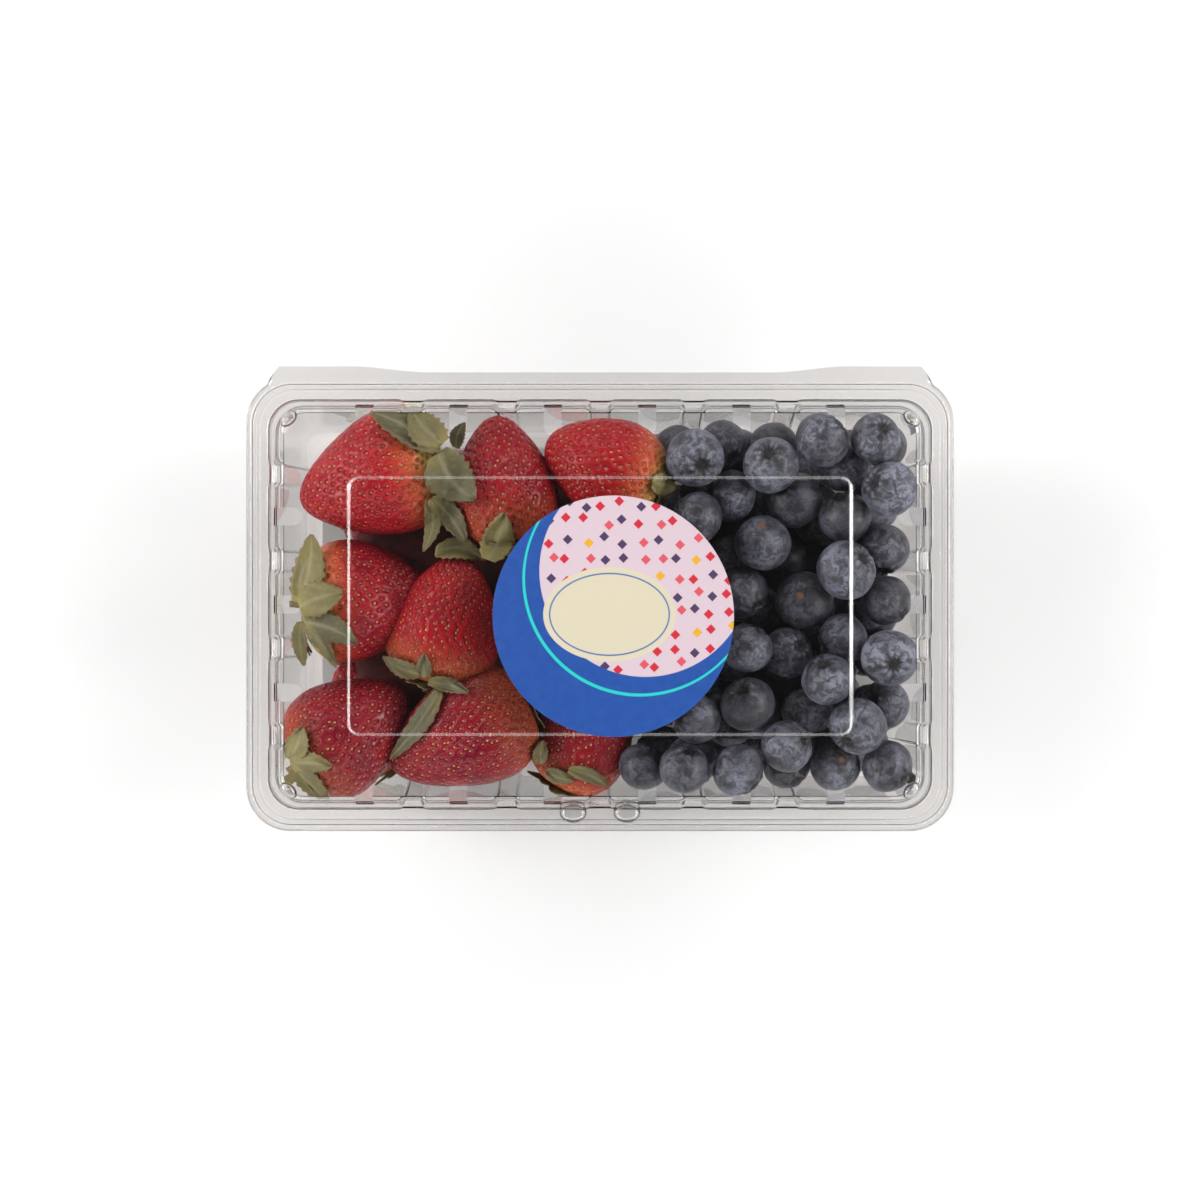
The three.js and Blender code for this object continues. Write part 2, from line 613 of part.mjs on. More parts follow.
// Whether a blueberry stands out of the core rather than lying deep inside it.
function shows({ x, y, z, r }) {
  const inX = x - r > BLUEBERRY_CORE.x[0] && x + r < BLUEBERRY_CORE.x[1];
  const inY = Math.abs(y) + r < BLUEBERRY_CORE.y;
  return !(inX && inY && z + r < BLUEBERRY_CORE.high);
}

function blueberryHeap() {
  const parts = [core(BLUEBERRY_CORE)];
  placeBlueberries().forEach((ball, i) => {
    if (shows(ball)) parts.push(blueberry(ball, i));
  });
  const heap = join(parts).intersect(roomSolid());
  return largest(heap.subtract(strawberryHeap(GAP)));
}

// ---- The punnet ---------------------------------------------------------------------

const punnet = new THREE.Group();
punnet.add(
  mesh('tray', tray(), 0xe9ebe9, 0.08, 0.3),
  mesh('lid', lid(), 0xeef0ee, 0.08, 0.3),
  mesh('label', label(), 0x2f56a8, 0.45),
  mesh('strawberries', strawberryHeap(0), 0xa31220, 0.35),
  mesh('blueberries', blueberryHeap(), 0x2b3145, 0.6),
);

export default punnet;
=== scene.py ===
"""A punnet of mixed berries: a clear clamshell box with strawberries, blueberries and a label.

The CAD frame gives the outline, the hinge and the heaps' places; this script makes the surfaces.
Every shape is a function on a grid or a profile carried round a path, worked out in
millimetres and turned into metres when its mesh is made. +X is right, +Y the hinge side and
+Z up.
"""

import math
from collections import namedtuple

import bpy
import numpy as np
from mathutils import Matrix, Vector


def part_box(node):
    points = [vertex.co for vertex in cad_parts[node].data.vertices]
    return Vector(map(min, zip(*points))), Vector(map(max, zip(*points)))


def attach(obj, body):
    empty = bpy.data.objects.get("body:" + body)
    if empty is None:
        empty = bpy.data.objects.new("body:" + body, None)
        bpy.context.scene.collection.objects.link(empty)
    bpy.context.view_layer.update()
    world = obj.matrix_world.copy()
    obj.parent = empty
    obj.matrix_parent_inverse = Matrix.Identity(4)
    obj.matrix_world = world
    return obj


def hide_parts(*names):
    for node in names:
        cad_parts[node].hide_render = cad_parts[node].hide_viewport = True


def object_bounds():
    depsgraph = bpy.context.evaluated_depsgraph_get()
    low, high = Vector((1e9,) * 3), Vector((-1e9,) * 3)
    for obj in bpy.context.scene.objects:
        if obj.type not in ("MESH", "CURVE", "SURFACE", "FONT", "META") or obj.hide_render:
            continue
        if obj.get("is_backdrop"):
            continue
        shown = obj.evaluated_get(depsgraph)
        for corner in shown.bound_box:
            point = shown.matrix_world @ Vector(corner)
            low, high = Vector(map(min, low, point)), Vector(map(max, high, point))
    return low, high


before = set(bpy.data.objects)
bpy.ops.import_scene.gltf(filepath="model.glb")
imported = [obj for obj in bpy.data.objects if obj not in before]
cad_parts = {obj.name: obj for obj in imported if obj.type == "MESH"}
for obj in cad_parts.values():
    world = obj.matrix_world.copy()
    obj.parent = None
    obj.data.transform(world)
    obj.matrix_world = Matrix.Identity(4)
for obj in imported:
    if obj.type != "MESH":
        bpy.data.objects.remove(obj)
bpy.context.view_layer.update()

# ---- Driving dimensions, in millimetres ---------------------------------------------------

MM = 0.001
NARROW = 1e-6                                 # what rounding may put between equal numbers
WHOLE_LOW, WHOLE_HIGH = (np.array(corner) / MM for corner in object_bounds())
LABEL_LOW, LABEL_HIGH = (np.array(corner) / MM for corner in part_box("label"))
RIM_X = WHOLE_HIGH[0] - WHOLE_LOW[0]          # outline of the rim that both halves share
HINGE_REACH = 2.8                             # how far the folded hinge stands out behind
RIM_Y = WHOLE_HIGH[1] - WHOLE_LOW[1] - HINGE_REACH
TRAY_Y = -HINGE_REACH / 2                     # the tray's middle
RIM_TOP = 50.0                                # top of the tray's rim
SOLID_WALL = 0.6                              # what the frame gives the plastic
WALL = 0.35                                   # what the plastic measures
SHARP = 38                                    # degrees between faces that are shaded apart
GAP = 0.3                                     # air between the two rims
LID_RIM = RIM_TOP + GAP + SOLID_WALL          # top of the lid's rim
LABEL_LIFT = 0.05                             # air under the label
PLATEAU_TOP = LABEL_LOW[2] - LABEL_LIFT
CORNER_RADIUS = 12.0
CORNER_SHRINK = 0.62                          # how much tighter the corners get for each mm in

PLATEAU = {"x": 134.3, "y": 69.4, "radius": 3.6, "rise": 0.8, "slope": 1.36, "y0": -0.4}
PANEL_TOP = PLATEAU_TOP - PLATEAU["rise"]
RIB_WIDTH, RIB_SLOPE = 7.5, 1.6
LONG_RIBS = (-50.0, -25.0, 0.0, 25.0, 50.0)
SHORT_RIBS = (-35.0, -11.7, 11.7, 35.0)
LONG_VENTS = (-62.5, -37.5, -12.5, 12.5, 37.5, 62.5)
SHORT_VENTS = (-23.3, 0.0, 23.3)
VENT_WIDTH, VENT_END, VENT_LOW = 4.8, 16.2, 57.0
CORNER_STEPS = 14
HINGE = {"half": 86.0, "draw_in": 1.6, "from": 66.0, "to": 46.0, "corner": (9, 12)}
LEDGE = RIM_TOP - 5.0
# How far from a corner of each section its rounding starts.
ROUNDING = {"lid": 0.5, "tray": 0.7, "plateau": 0.45, "foot": 0.6}
LIP_ROWS = 5                                  # rows of a section that turn into the hinge's leaf
# Low domes on the lid: place, length, depth and height.
LUG = {"x": 82.4, "y": 49.2, "size": (2.6, 1.8, 1.4)}
LATCH = {"x": 7.2, "inset": 5.2, "size": (3.6, 2.6, 1.8)}
SUNK = 0.05                                   # how far the domes' feet lie below the sheet's top
FOOT_PANEL = {"x": 124, "y": 56, "radius": 6, "rise": 1.6, "slope": 1.6}
LABEL_EDGE, LABEL_SIDES = 0.05, 160

# ---- Strawberries -------------------------------------------------------------------------

# Middle, the way the tip points, length, width, the reach of the crown (0: a buried one), and
# how blunt the tip is.
STRAWBERRIES = (
    ((-61.5, 34.0, 39.0), (-0.95, -0.31, 0.02), 41, 32.0, 20, 0.5),
    ((-26.5, 33.0, 37.5), (-0.10, 0.97, -0.20), 37, 27.0, 12, 0.75),
    ((1.0, 37.0, 39.5), (-0.90, 0.42, 0.05), 34, 27.0, 9, 1),
    ((-62.5, 1.0, 36.0), (0.99, 0.05, -0.10), 38, 33.0, 19, 0.35),
    ((-41.5, -4.0, 40.0), (0.26, 0.95, 0.15), 36, 29.5, 14, 0.6),
    ((-67.5, -33.8, 36.5), (0.82, 0.55, 0.05), 36, 31.5, 15, 0.5),
    ((-37.5, -35.0, 38.5), (-0.90, -0.42, 0.05), 42, 30.0, 10, 0.6),
    ((-4.0, -35.0, 31.0), (0.40, 0.86, 0.30), 33, 26.0, 12, 0.6),
    ((-13.5, 3.0, 38.5), (-0.30, -0.94, 0.10), 33, 27.0, 11, 0.5),
    ((8.0, 5.5, 36.5), (0.25, -0.96, 0.00), 33, 25.0, 10, 0.5),
    ((-63.5, 29.5, 15.0), (0.30, -0.95, 0.05), 33, 27.0, 0, 0.4),
    ((-35.0, 30.5, 14.5), (0.95, 0.30, 0.05), 31, 26.0, 0, 0.4),
    ((-6.0, 30.0, 14.8), (-0.60, -0.80, 0.10), 32, 27.0, 0, 0.4),
    ((-63.5, -1.0, 14.8), (0.05, 0.95, -0.30), 32, 27.0, 0, 0.4),
    ((-34.0, 0.0, 15.0), (0.70, -0.70, 0.10), 33, 27.0, 0, 0.4),
    ((-5.5, -1.0, 15.5), (0.20, 0.95, 0.20), 34, 28.0, 0, 0.4),
    ((-63.0, -30.5, 14.8), (-0.50, 0.85, 0.10), 33, 27.0, 0, 0.4),
    ((-34.0, -30.5, 14.6), (0.97, 0.20, 0.05), 32, 26.5, 0, 0.4),
    ((-5.5, -30.0, 14.6), (-0.95, 0.25, 0.05), 31, 26.0, 0, 0.4),
)
WIDE_PITCH = 2.6                              # distance between seeds, except on these
SEED_PITCH = {1: 2.5, 3: 2.3, 5: 2.1, 6: 2.5, 7: 2.2, 8: 2.2}
SEED_TURN = math.pi * (3 - math.sqrt(5))      # the golden angle
SEED_START = 0.42                             # the least phi of a seed: none under the crown
# A seed's dimple, as shares of the distance between seeds: its depth and radius, and the height,
# middle and width of the lip round it.
DIMPLE = {"depth": 0.26, "radius": 0.27, "lip": 0.025, "lip_at": 0.43, "lip_width": 0.1}
SEED = {"long": 0.62, "wide": 0.34, "high": 0.26, "sides": 6, "narrowing": 0.35, "sunk": 0.12}
CROWD = 0.55                                  # how much closer the points lie on the upper side
UPPER_GRID, LOWER_GRID = (128, 140), (50, 76)  # rows from crown to tip, and points round
# How unripe the shoulder is, how far the flesh is from crimson to scarlet, and how strong the
# painted highlight rings round the seeds are, for the berries that show.
UNRIPE = {1: 1.0, 3: 0.85, 4: 1.0, 5: 0.6, 8: 0.5}
SCARLET = {1: 0.75, 2: 0.45, 3: 0.85, 4: 0.4, 5: 0.6, 6: 0.12, 7: 0.08, 8: 0.3}
PAINTED_RING_HIGHLIGHT = {1: 0.75, 2: 0.3, 3: 0.3, 4: 0.45, 5: 0.3, 6: 0.5, 7: 0.75, 8: 0.45}
HIDDEN_MARK = 0.35                            # what all three are for the berries not named
CROWN_TONE = {1: 0.5, 4: 0.45, 3: 0.4}        # how much yellower a crown is
SEPALS = {"count": 9, "half_width": 2.1, "shown": 0.5, "hidden": 0.62, "least": 10}
STEM = {"length": 4.0, "radius": 0.9, "sunk": 1.2, "bend": 1.2}
LEAF_TOP = 59.5                               # leaves stay below the lid
LEAF_DROP = 7.0                               # how far a leaf hangs below its highest place

STRAWBERRY_CORE = ((-68, 2), (-34, 34), (8, 30))      # from and to, in x, y and z

# ---- Blueberries --------------------------------------------------------------------------

BLUEBERRY_CORE = ((30, 70), (-34, 34), (8, 24))

# Those that show from above: place in plan and diameter, the uppermost first.
TOP_BLUEBERRIES = (
    (24.1, 39.5, 16.1), (46.4, 37.7, 15.6), (79.0, 33.4, 15.6), (53.1, 28.3, 15.6),
    (43.9, 16.5, 15.6), (66.1, 9.5, 16.6), (55.5, 0.2, 16.1), (78.0, -14.3, 15.6),
    (69.2, -32.4, 16.1), (39.6, -26.8, 15.0), (79.3, 15.1, 15.0), (37.4, -45.0, 14.5),
    (63.6, -45.6, 14.0), (59.9, 45.8, 15.0), (74.8, 45.8, 14.0), (78.6, -43.7, 14.5),
    (22.7, -43.7, 14.0), (35.5, 29.6, 14.5), (61.8, -20.5, 14.5), (78.6, 1.0, 14.0),
    (66.1, 23.6, 14.5), (49.8, -38.6, 14.5), (66.1, 38.2, 14.0), (33.0, 46.6, 14.0),
    (46.2, 46.8, 14.0), (26.2, 23.3, 14.4), (19.0, 46.6, 14.0), (38.6, 3.3, 14.6),
    (51.2, -12.4, 14.0), (39.3, -11.7, 14.2), (65.7, -9.5, 14.0), (79.6, -27.5, 14.0),
    (56.1, -29.2, 14.0), (26.0, -31.1, 14.0), (11.7, -45.0, 13.6), (26.0, 8.0, 14.6),
    (26.4, -8.0, 14.8), (25.8, -20.0, 14.2), (52.0, -46.0, 13.4), (80.0, 44.6, 13.0),
)
BLUEBERRY = {"top": 46.8, "mean": 14.8, "spread": 1.6, "pitch": 14.9, "layer": 12.2, "left": 17}
ROW_SHARE = 0.87                              # a row's distance as a share of the pitch
SECOND_LAYER = 9.0                            # how far below the uppermost the next ones may lie
ROOM = {"floor": 2.5, "low": 15.4, "high": 9.4, "top": 54.6}
SETTLING = {"rounds": 200, "pull": 0.12, "sink": 0.04}
CLEAR = {"lower": 0.75, "filler": 0.93}       # shares of two radii that keep berries apart
# The berries that fill the gaps: the step of the grid and where it starts and ends, their least
# radius and its spread, and how high and low they may lie.
FILL = {"step": 2, "left": 14, "right": 84, "front": -48, "back": 49, "radius": 6.4,
        "spread": 0.6, "high": 43.0, "low": 20.0}
# The way the crown points of the berries that show it, by their number in the list, and those
# whose stem scar shows instead.
CROWN_WAYS = {
    0: (0.23, -0.34, 0.91), 1: (-0.13, 0.50, 0.85), 3: (-0.6, 0.5, 0.6), 5: (0.6, 0.5, 0.6),
    7: (0.10, -0.27, 0.96), 8: (-0.5, -0.6, 0.6), 9: (-0.3, 0.6, 0.7), 14: (0.3, 0.5, 0.85),
    16: (0.2, 0.8, 0.5), 28: (0.5, 0.3, 0.8), 31: (-0.6, 0.2, 0.7),
}
SCAR_WAYS = {4: (-0.05, 0.65, 0.76), 6: (-0.21, 0.18, 0.96), 12: (0.2, 0.3, 0.9)}
# How much bloom is left on some of them. The others draw theirs.
BLOOM = {7: 1.5, 0: 1.0, 1: 0.95, 2: 1.25, 8: 1.1, 14: 1.15, 4: 0.8, 6: 0.5, 13: 0.9}
FLATNESS = 0.93                               # a blueberry's height as a share of its width
ROUNDNESS = 0.985                             # its radius before its dents, as a share of the ball
UPPER_SPHERE, LOWER_SPHERE = (34, 50), (15, 24)     # rows from crown to foot, and points round

# ---- Light --------------------------------------------------------------------------------

# The bright ring of the sky: the middle and reach of its height as a share of the sky's radius,
# and its strength.
RING = {"height": 0.46, "reach": 0.10, "strength": 8.4}
# The two soft boxes: place in metres, size and power.
SOFT_BOXES = {
    "light_left": ((-2.1, 0.5, 1.5), 0.8, 15),
    "light_right": ((2.1, 0.3, 1.5), 0.8, 13),
}
BOUNCES = 8
CAMERA = {"lens": 112.0, "sensor": 36.0, "place": (0.0, -0.0002, 1.05)}

# ---- Random draws -------------------------------------------------------------------------

# The number that each random draw adds to a berry's own, so that no two draws are alike.
DRAW = {"y": 500, "z": 900, "filler": 300, "crown_turn": 60, "crown_lean": 80, "bloom": 11,
        "dents": (7, 27, 47)}

# ---- Small tools --------------------------------------------------------------------------

Surface = namedtuple("Surface", "points quads triangles marks")


def mix(a, b, t):
    return a + (b - a) * t


def scatter(n):
    """An even, repeatable number from 0 to 1 for each whole number: the part after the point
    of a large multiple of a sine."""
    s = np.sin(np.asarray(n, float) * 12.9898 + 4.1414) * 43758.5453
    return s - np.floor(s)


def smooth_step(low, high, x):
    """0 below low, 1 above high, and 3t squared less 2t cubed between."""
    t = np.clip((np.asarray(x, float) - low) / (high - low), 0, 1)
    return t * t * (3 - 2 * t)


def unit(v):
    return np.asarray(v, float) / np.linalg.norm(v)


def joined(surfaces):
    """Several surfaces as one, each one's faces counted on from the points before it."""
    starts = np.cumsum([0] + [len(s.points) for s in surfaces])
    names = surfaces[0].marks.keys()
    return Surface(
        np.concatenate([s.points for s in surfaces]),
        np.concatenate([s.quads + n for s, n in zip(surfaces, starts)]),
        np.concatenate([s.triangles + n for s, n in zip(surfaces, starts)]),
        {name: np.concatenate([s.marks[name] for s in surfaces]) for name in names},
    )


def outward(surface):
    """The surface with its faces turned so that the volume they close is positive."""
    p, q, t = surface.points, surface.quads, surface.triangles
    p = p - p.mean(0)
    corners = np.concatenate([t, q[:, [0, 1, 2]], q[:, [0, 2, 3]]])
    a, b, c = (p[corners[:, i]] for i in range(3))
    if np.einsum("ij,ij->i", a, np.cross(b, c)).sum() < 0:
        q, t = q[:, ::-1], t[:, ::-1]
    return Surface(surface.points, q, t, surface.marks)


def closed(first, rings, last, marks=None):
    """A closed surface through rings of points, an array of rows, points round and 3, with a
    fan to a point at each end."""
    rows, round_ = rings.shape[:2]
    index = 1 + np.arange(rows * round_).reshape(rows, round_)
    after = np.roll(index, -1, axis=1)
    quads = np.stack([index[:-1], index[1:], after[1:], after[:-1]], -1).reshape(-1, 4)
    last_index = np.full(round_, rows * round_ + 1)
    fans = [
        np.stack([np.zeros(round_, int), index[0], after[0]], -1),
        np.stack([last_index, after[-1], index[-1]], -1),
    ]
    points = np.concatenate([[first], rings.reshape(-1, 3), [last]])
    made = {
        name: np.concatenate([[ends[0]], values.reshape(-1), [ends[1]]])
        for name, (ends, values) in (marks or {}).items()
    }
    return outward(Surface(points, quads, np.concatenate(fans), made))


def sheet_grid(grid, marks=None):
    """An open surface over a grid of points, an array of rows, columns and 3."""
    rows, columns = grid.shape[:2]
    index = np.arange(rows * columns).reshape(rows, columns)
    quads = np.stack([index[:-1, :-1], index[1:, :-1], index[1:, 1:], index[:-1, 1:]], -1)
    made = {name: np.asarray(v, float).reshape(-1) for name, v in (marks or {}).items()}
    return Surface(grid.reshape(-1, 3), quads.reshape(-1, 4), np.zeros((0, 3), int), made)


def new_piece(name, surface, material, body):
    """A mesh object of a surface, in metres, on a body of the frame."""
    mesh = bpy.data.meshes.new(name)
    corners = np.concatenate([surface.quads.ravel(), surface.triangles.ravel()])
    sizes = np.repeat([4, 3], [len(surface.quads), len(surface.triangles)])
    mesh.vertices.add(len(surface.points))
    mesh.vertices.foreach_set("co", (surface.points * MM).ravel())
    mesh.loops.add(len(corners))
    mesh.loops.foreach_set("vertex_index", corners)
    mesh.polygons.add(len(sizes))
    mesh.polygons.foreach_set("loop_start", np.cumsum(sizes) - sizes)
    mesh.update(calc_edges=True)
    mesh.validate()
    mesh.polygons.foreach_set("use_smooth", np.ones(len(sizes), bool))
    for mark, values in surface.marks.items():
        layer = mesh.attributes.new(mark, "FLOAT", "POINT")
        layer.data.foreach_set("value", np.asarray(values, np.float32))
    mesh.materials.append(material)
    piece = bpy.data.objects.new(name, mesh)
    bpy.context.scene.collection.objects.link(piece)
    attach(piece, body)
    return piece


# ---- Materials ----------------------------------------------------------------------------


def add(tree, kind, **settings):
    node = tree.nodes.new("ShaderNode" + kind)
    for name, value in settings.items():
        setattr(node, name, value)
    return node


def fill(tree, socket, value):
    """Sets a socket, or joins it to another one."""
    if isinstance(value, bpy.types.NodeSocket):
        tree.links.new(value, socket)
    else:
        colour = isinstance(value, tuple) and len(value) == 3
        socket.default_value = (*value, 1) if colour else value


def blended(tree, factor, a, b):
    """The colours a and b mixed by a factor."""
    node = add(tree, "Mix", data_type="RGBA")
    for index, value in ((0, factor), (6, a), (7, b)):
        fill(tree, node.inputs[index], value)
    return node.outputs[2]


def sum_of(tree, a, b, operation="ADD", clamp=False):
    node = add(tree, "Math", operation=operation, use_clamp=clamp)
    fill(tree, node.inputs[0], a)
    fill(tree, node.inputs[1], b)
    return node.outputs[0]


def ranged(tree, value, low, high, to_low=0.0, to_high=1.0):
    """A value carried from one range to another, smoothly."""
    node = add(tree, "MapRange", interpolation_type="SMOOTHSTEP")
    for index, number in enumerate((value, low, high, to_low, to_high)):
        fill(tree, node.inputs[index], number)
    return node.outputs[0]


def marked(tree, name):
    return add(tree, "Attribute", attribute_name=name).outputs["Fac"]


def mottle_group():
    """Soft patches: a noise on the object's own coordinates, its contrast raised, and a height
    for the same patches."""
    tree = bpy.data.node_groups.new("soft_mottle", "ShaderNodeTree")
    for label, kind, way in (
        ("Scale", "NodeSocketFloat", "INPUT"),
        ("Low", "NodeSocketFloat", "INPUT"),
        ("High", "NodeSocketFloat", "INPUT"),
        ("Warp", "NodeSocketFloat", "INPUT"),
        ("Detail", "NodeSocketFloat", "INPUT"),
        ("Mask", "NodeSocketFloat", "OUTPUT"),
        ("Height", "NodeSocketFloat", "OUTPUT"),
    ):
        tree.interface.new_socket(label, in_out=way, socket_type=kind)
    into, out = add_group_ends(tree)
    place = add(tree, "TexCoord").outputs["Object"]
    noise = add(tree, "TexNoise")
    noise.inputs["Roughness"].default_value = 0.6
    tree.links.new(place, noise.inputs["Vector"])
    tree.links.new(into.outputs["Scale"], noise.inputs["Scale"])
    tree.links.new(into.outputs["Warp"], noise.inputs["Distortion"])
    tree.links.new(into.outputs["Detail"], noise.inputs["Detail"])
    mask = ranged(tree, noise.outputs["Fac"], into.outputs["Low"], into.outputs["High"])
    tree.links.new(mask, out.inputs["Mask"])
    tree.links.new(noise.outputs["Fac"], out.inputs["Height"])
    return tree


def add_group_ends(tree):
    return tree.nodes.new("NodeGroupInput"), tree.nodes.new("NodeGroupOutput")


def mottle(tree, scale, low=0.35, high=0.65, warp=0.0, detail=3.0):
    """The soft_mottle group, placed with its own values."""
    node = add(tree, "Group", node_tree=MOTTLE)
    for label, value in (("Scale", scale), ("Low", low), ("High", high), ("Warp", warp),
                         ("Detail", detail)):
        node.inputs[label].default_value = value
    return node


def bump(tree, height, distance, strength=1.0):
    node = add(tree, "Bump")
    fill(tree, node.inputs["Height"], height)
    node.inputs["Distance"].default_value = distance * MM
    node.inputs["Strength"].default_value = strength
    return node.outputs["Normal"]


def new_material(name, **settings):
    """A material with one Principled shader and plain values for its sockets."""
    material = bpy.data.materials.new(name)
    material.use_nodes = True
    tree = material.node_tree
    shader = tree.nodes["Principled BSDF"]
    for label, value in settings.items():
        fill(tree, shader.inputs[label.replace("_", " ")], value)
    return material, tree, shader


def clear_plastic():
    """Clear moulded sheet with shadows that let the light through."""
    material, tree, shader = new_material(
        "clear_plastic", Base_Color=(0.91, 0.895, 0.885), Roughness=0.0, IOR=1.5,
        Transmission_Weight=1.0,
    )
    ray = add(tree, "LightPath").outputs["Is Shadow Ray"]
    through = add(tree, "BsdfTransparent")
    through.inputs["Color"].default_value = (0.95, 0.945, 0.94, 1)
    either = add(tree, "MixShader")
    fill(tree, either.inputs[0], ray)
    fill(tree, either.inputs[1], shader.outputs[0])
    fill(tree, either.inputs[2], through.outputs[0])
    fill(tree, tree.nodes["Material Output"].inputs["Surface"], either.outputs[0])
    return material


def strawberry_flesh():
    """Glossy flesh from crimson to scarlet, with painted shade darkening the seeds' dimples and a
    painted highlight in a pale ring round each, and unripe shoulders that go from orange to yellow."""
    material, tree, shader = new_material(
        "strawberry_flesh", IOR=1.42, Specular_IOR_Level=0.1, Coat_Weight=0.5,
        Coat_Roughness=0.035,
    )
    patches = mottle(tree, 120.0, 0.38, 0.62, detail=1.0)
    hue = sum_of(tree, marked(tree, "scarlet"),
                 sum_of(tree, patches.outputs["Mask"], 0.3, "MULTIPLY"), clamp=True)
    flesh = blended(tree, hue, (0.105, 0.0006, 0.010), (0.29, 0.004, 0.009))
    unripe = marked(tree, "unripe")
    pale = blended(tree, ranged(tree, unripe, 0.5, 1.0), (0.62, 0.15, 0.04), (0.50, 0.36, 0.08))
    shaded = blended(tree, unripe, flesh, pale)
    near = marked(tree, "seed_distance")
    # painted shade: the flesh is drawn darker towards the middle of each seed's dimple
    painted_pit_shade = ranged(tree, near, 0.10, 0.34, 0.55, 0.0)
    pit_shaded_flesh = blended(tree, painted_pit_shade, shaded, (0.10, 0.001, 0.006))
    # painted highlight: a pale pink ring round each dimple, where its lip would catch the light
    off = sum_of(tree, sum_of(tree, near, 0.40, "SUBTRACT"), 0.0, "ABSOLUTE")
    ring = sum_of(tree, ranged(tree, off, 0.015, 0.075, 0.34, 0.0), marked(tree, "painted_ring_highlight"),
                  "MULTIPLY")
    fill(tree, shader.inputs["Base Color"], blended(tree, ring, pit_shaded_flesh, (0.62, 0.075, 0.095)))
    fine = mottle(tree, 900.0, detail=1.0)
    grain = fine.outputs["Height"]
    fill(tree, shader.inputs["Roughness"], ranged(tree, grain, 0.3, 0.7, 0.34, 0.5))
    fill(tree, shader.inputs["Normal"], bump(tree, grain, 0.02, 0.15))
    return material


def strawberry_seed():
    material, tree, shader = new_material("strawberry_seed", Roughness=0.42)
    tones = mottle(tree, 260.0, 0.4, 0.6)
    colour = blended(tree, tones.outputs["Mask"], (0.62, 0.36, 0.10), (0.38, 0.09, 0.03))
    fill(tree, shader.inputs["Base Color"], colour)
    return material


def strawberry_leaf():
    """Green sepals: the tone goes from grey-green to yellow-green and to brown at dry edges,
    with paler veins along each leaf's own coordinates."""
    material, tree, shader = new_material("strawberry_leaf", Roughness=0.55)
    patches = mottle(tree, 300.0, 0.35, 0.65)
    green = blended(tree, marked(tree, "tone"), (0.060, 0.056, 0.026), (0.26, 0.22, 0.065))
    dull = blended(tree, sum_of(tree, patches.outputs["Mask"], 0.4, "MULTIPLY"), green,
                   (0.10, 0.095, 0.05))
    veined = blended(tree, sum_of(tree, marked(tree, "vein"), 0.45, "MULTIPLY"), dull,
                     (0.30, 0.29, 0.17))
    dry = blended(tree, marked(tree, "dry"), veined, (0.17, 0.085, 0.035))
    fill(tree, shader.inputs["Base Color"], dry)
    fill(tree, shader.inputs["Normal"], bump(tree, patches.outputs["Height"], 0.25, 0.6))
    return material


def blueberry_skin():
    """Blue-black skin under a grey-blue bloom that is rubbed off in patches and streaks, with
    a dark crown whose dish and slits are further darkened by painted shade, or a tan scar where the
    stem was."""
    material, tree, shader = new_material("blueberry_skin", Coat_Weight=0.06, Coat_Roughness=0.3)
    broad = mottle(tree, 110.0, 0.36, 0.62, detail=1.0)
    streaks = mottle(tree, 420.0, 0.38, 0.60, 0.9)
    fine = mottle(tree, 1300.0, 0.35, 0.65, detail=1.0)
    rubbed = sum_of(tree, mix_value(tree, broad.outputs["Mask"], 0.45, 1.0),
                    marked(tree, "bloom"), "MULTIPLY")
    torn = sum_of(tree, rubbed, mix_value(tree, streaks.outputs["Mask"], 0.25, 1.0), "MULTIPLY")
    flecked = sum_of(tree, torn, mix_value(tree, fine.outputs["Mask"], 0.6, 1.0), "MULTIPLY")
    skin = blended(tree, flecked, (0.009, 0.009, 0.012), (0.185, 0.195, 0.255))
    # the crown mark is partly the crown's own dark colour and partly painted shade in its dish and
    # slits
    dark = blended(tree, marked(tree, "crown"), skin, (0.005, 0.005, 0.007))
    scarred = blended(tree, marked(tree, "scar"), dark, (0.17, 0.075, 0.025))
    fill(tree, shader.inputs["Base Color"], scarred)
    fill(tree, shader.inputs["Roughness"], ranged(tree, flecked, 0.0, 1.0, 0.40, 0.7))
    wrinkles = sum_of(tree, streaks.outputs["Height"], broad.outputs["Height"])
    fill(tree, shader.inputs["Normal"], bump(tree, wrinkles, 0.26, 0.7))
    return material


def mix_value(tree, factor, low, high):
    return ranged(tree, factor, 0.0, 1.0, low, high)


def shaded_heap_core(name, colour):
    """The inside of a heap, between the berries, painted dark as the shade that lies deep there."""
    material, tree, shader = new_material(name, Roughness=0.9)
    patches = mottle(tree, 200.0)
    shade = tuple(0.4 * c for c in colour)
    fill(tree, shader.inputs["Base Color"], blended(tree, patches.outputs["Mask"], colour, shade))
    return material


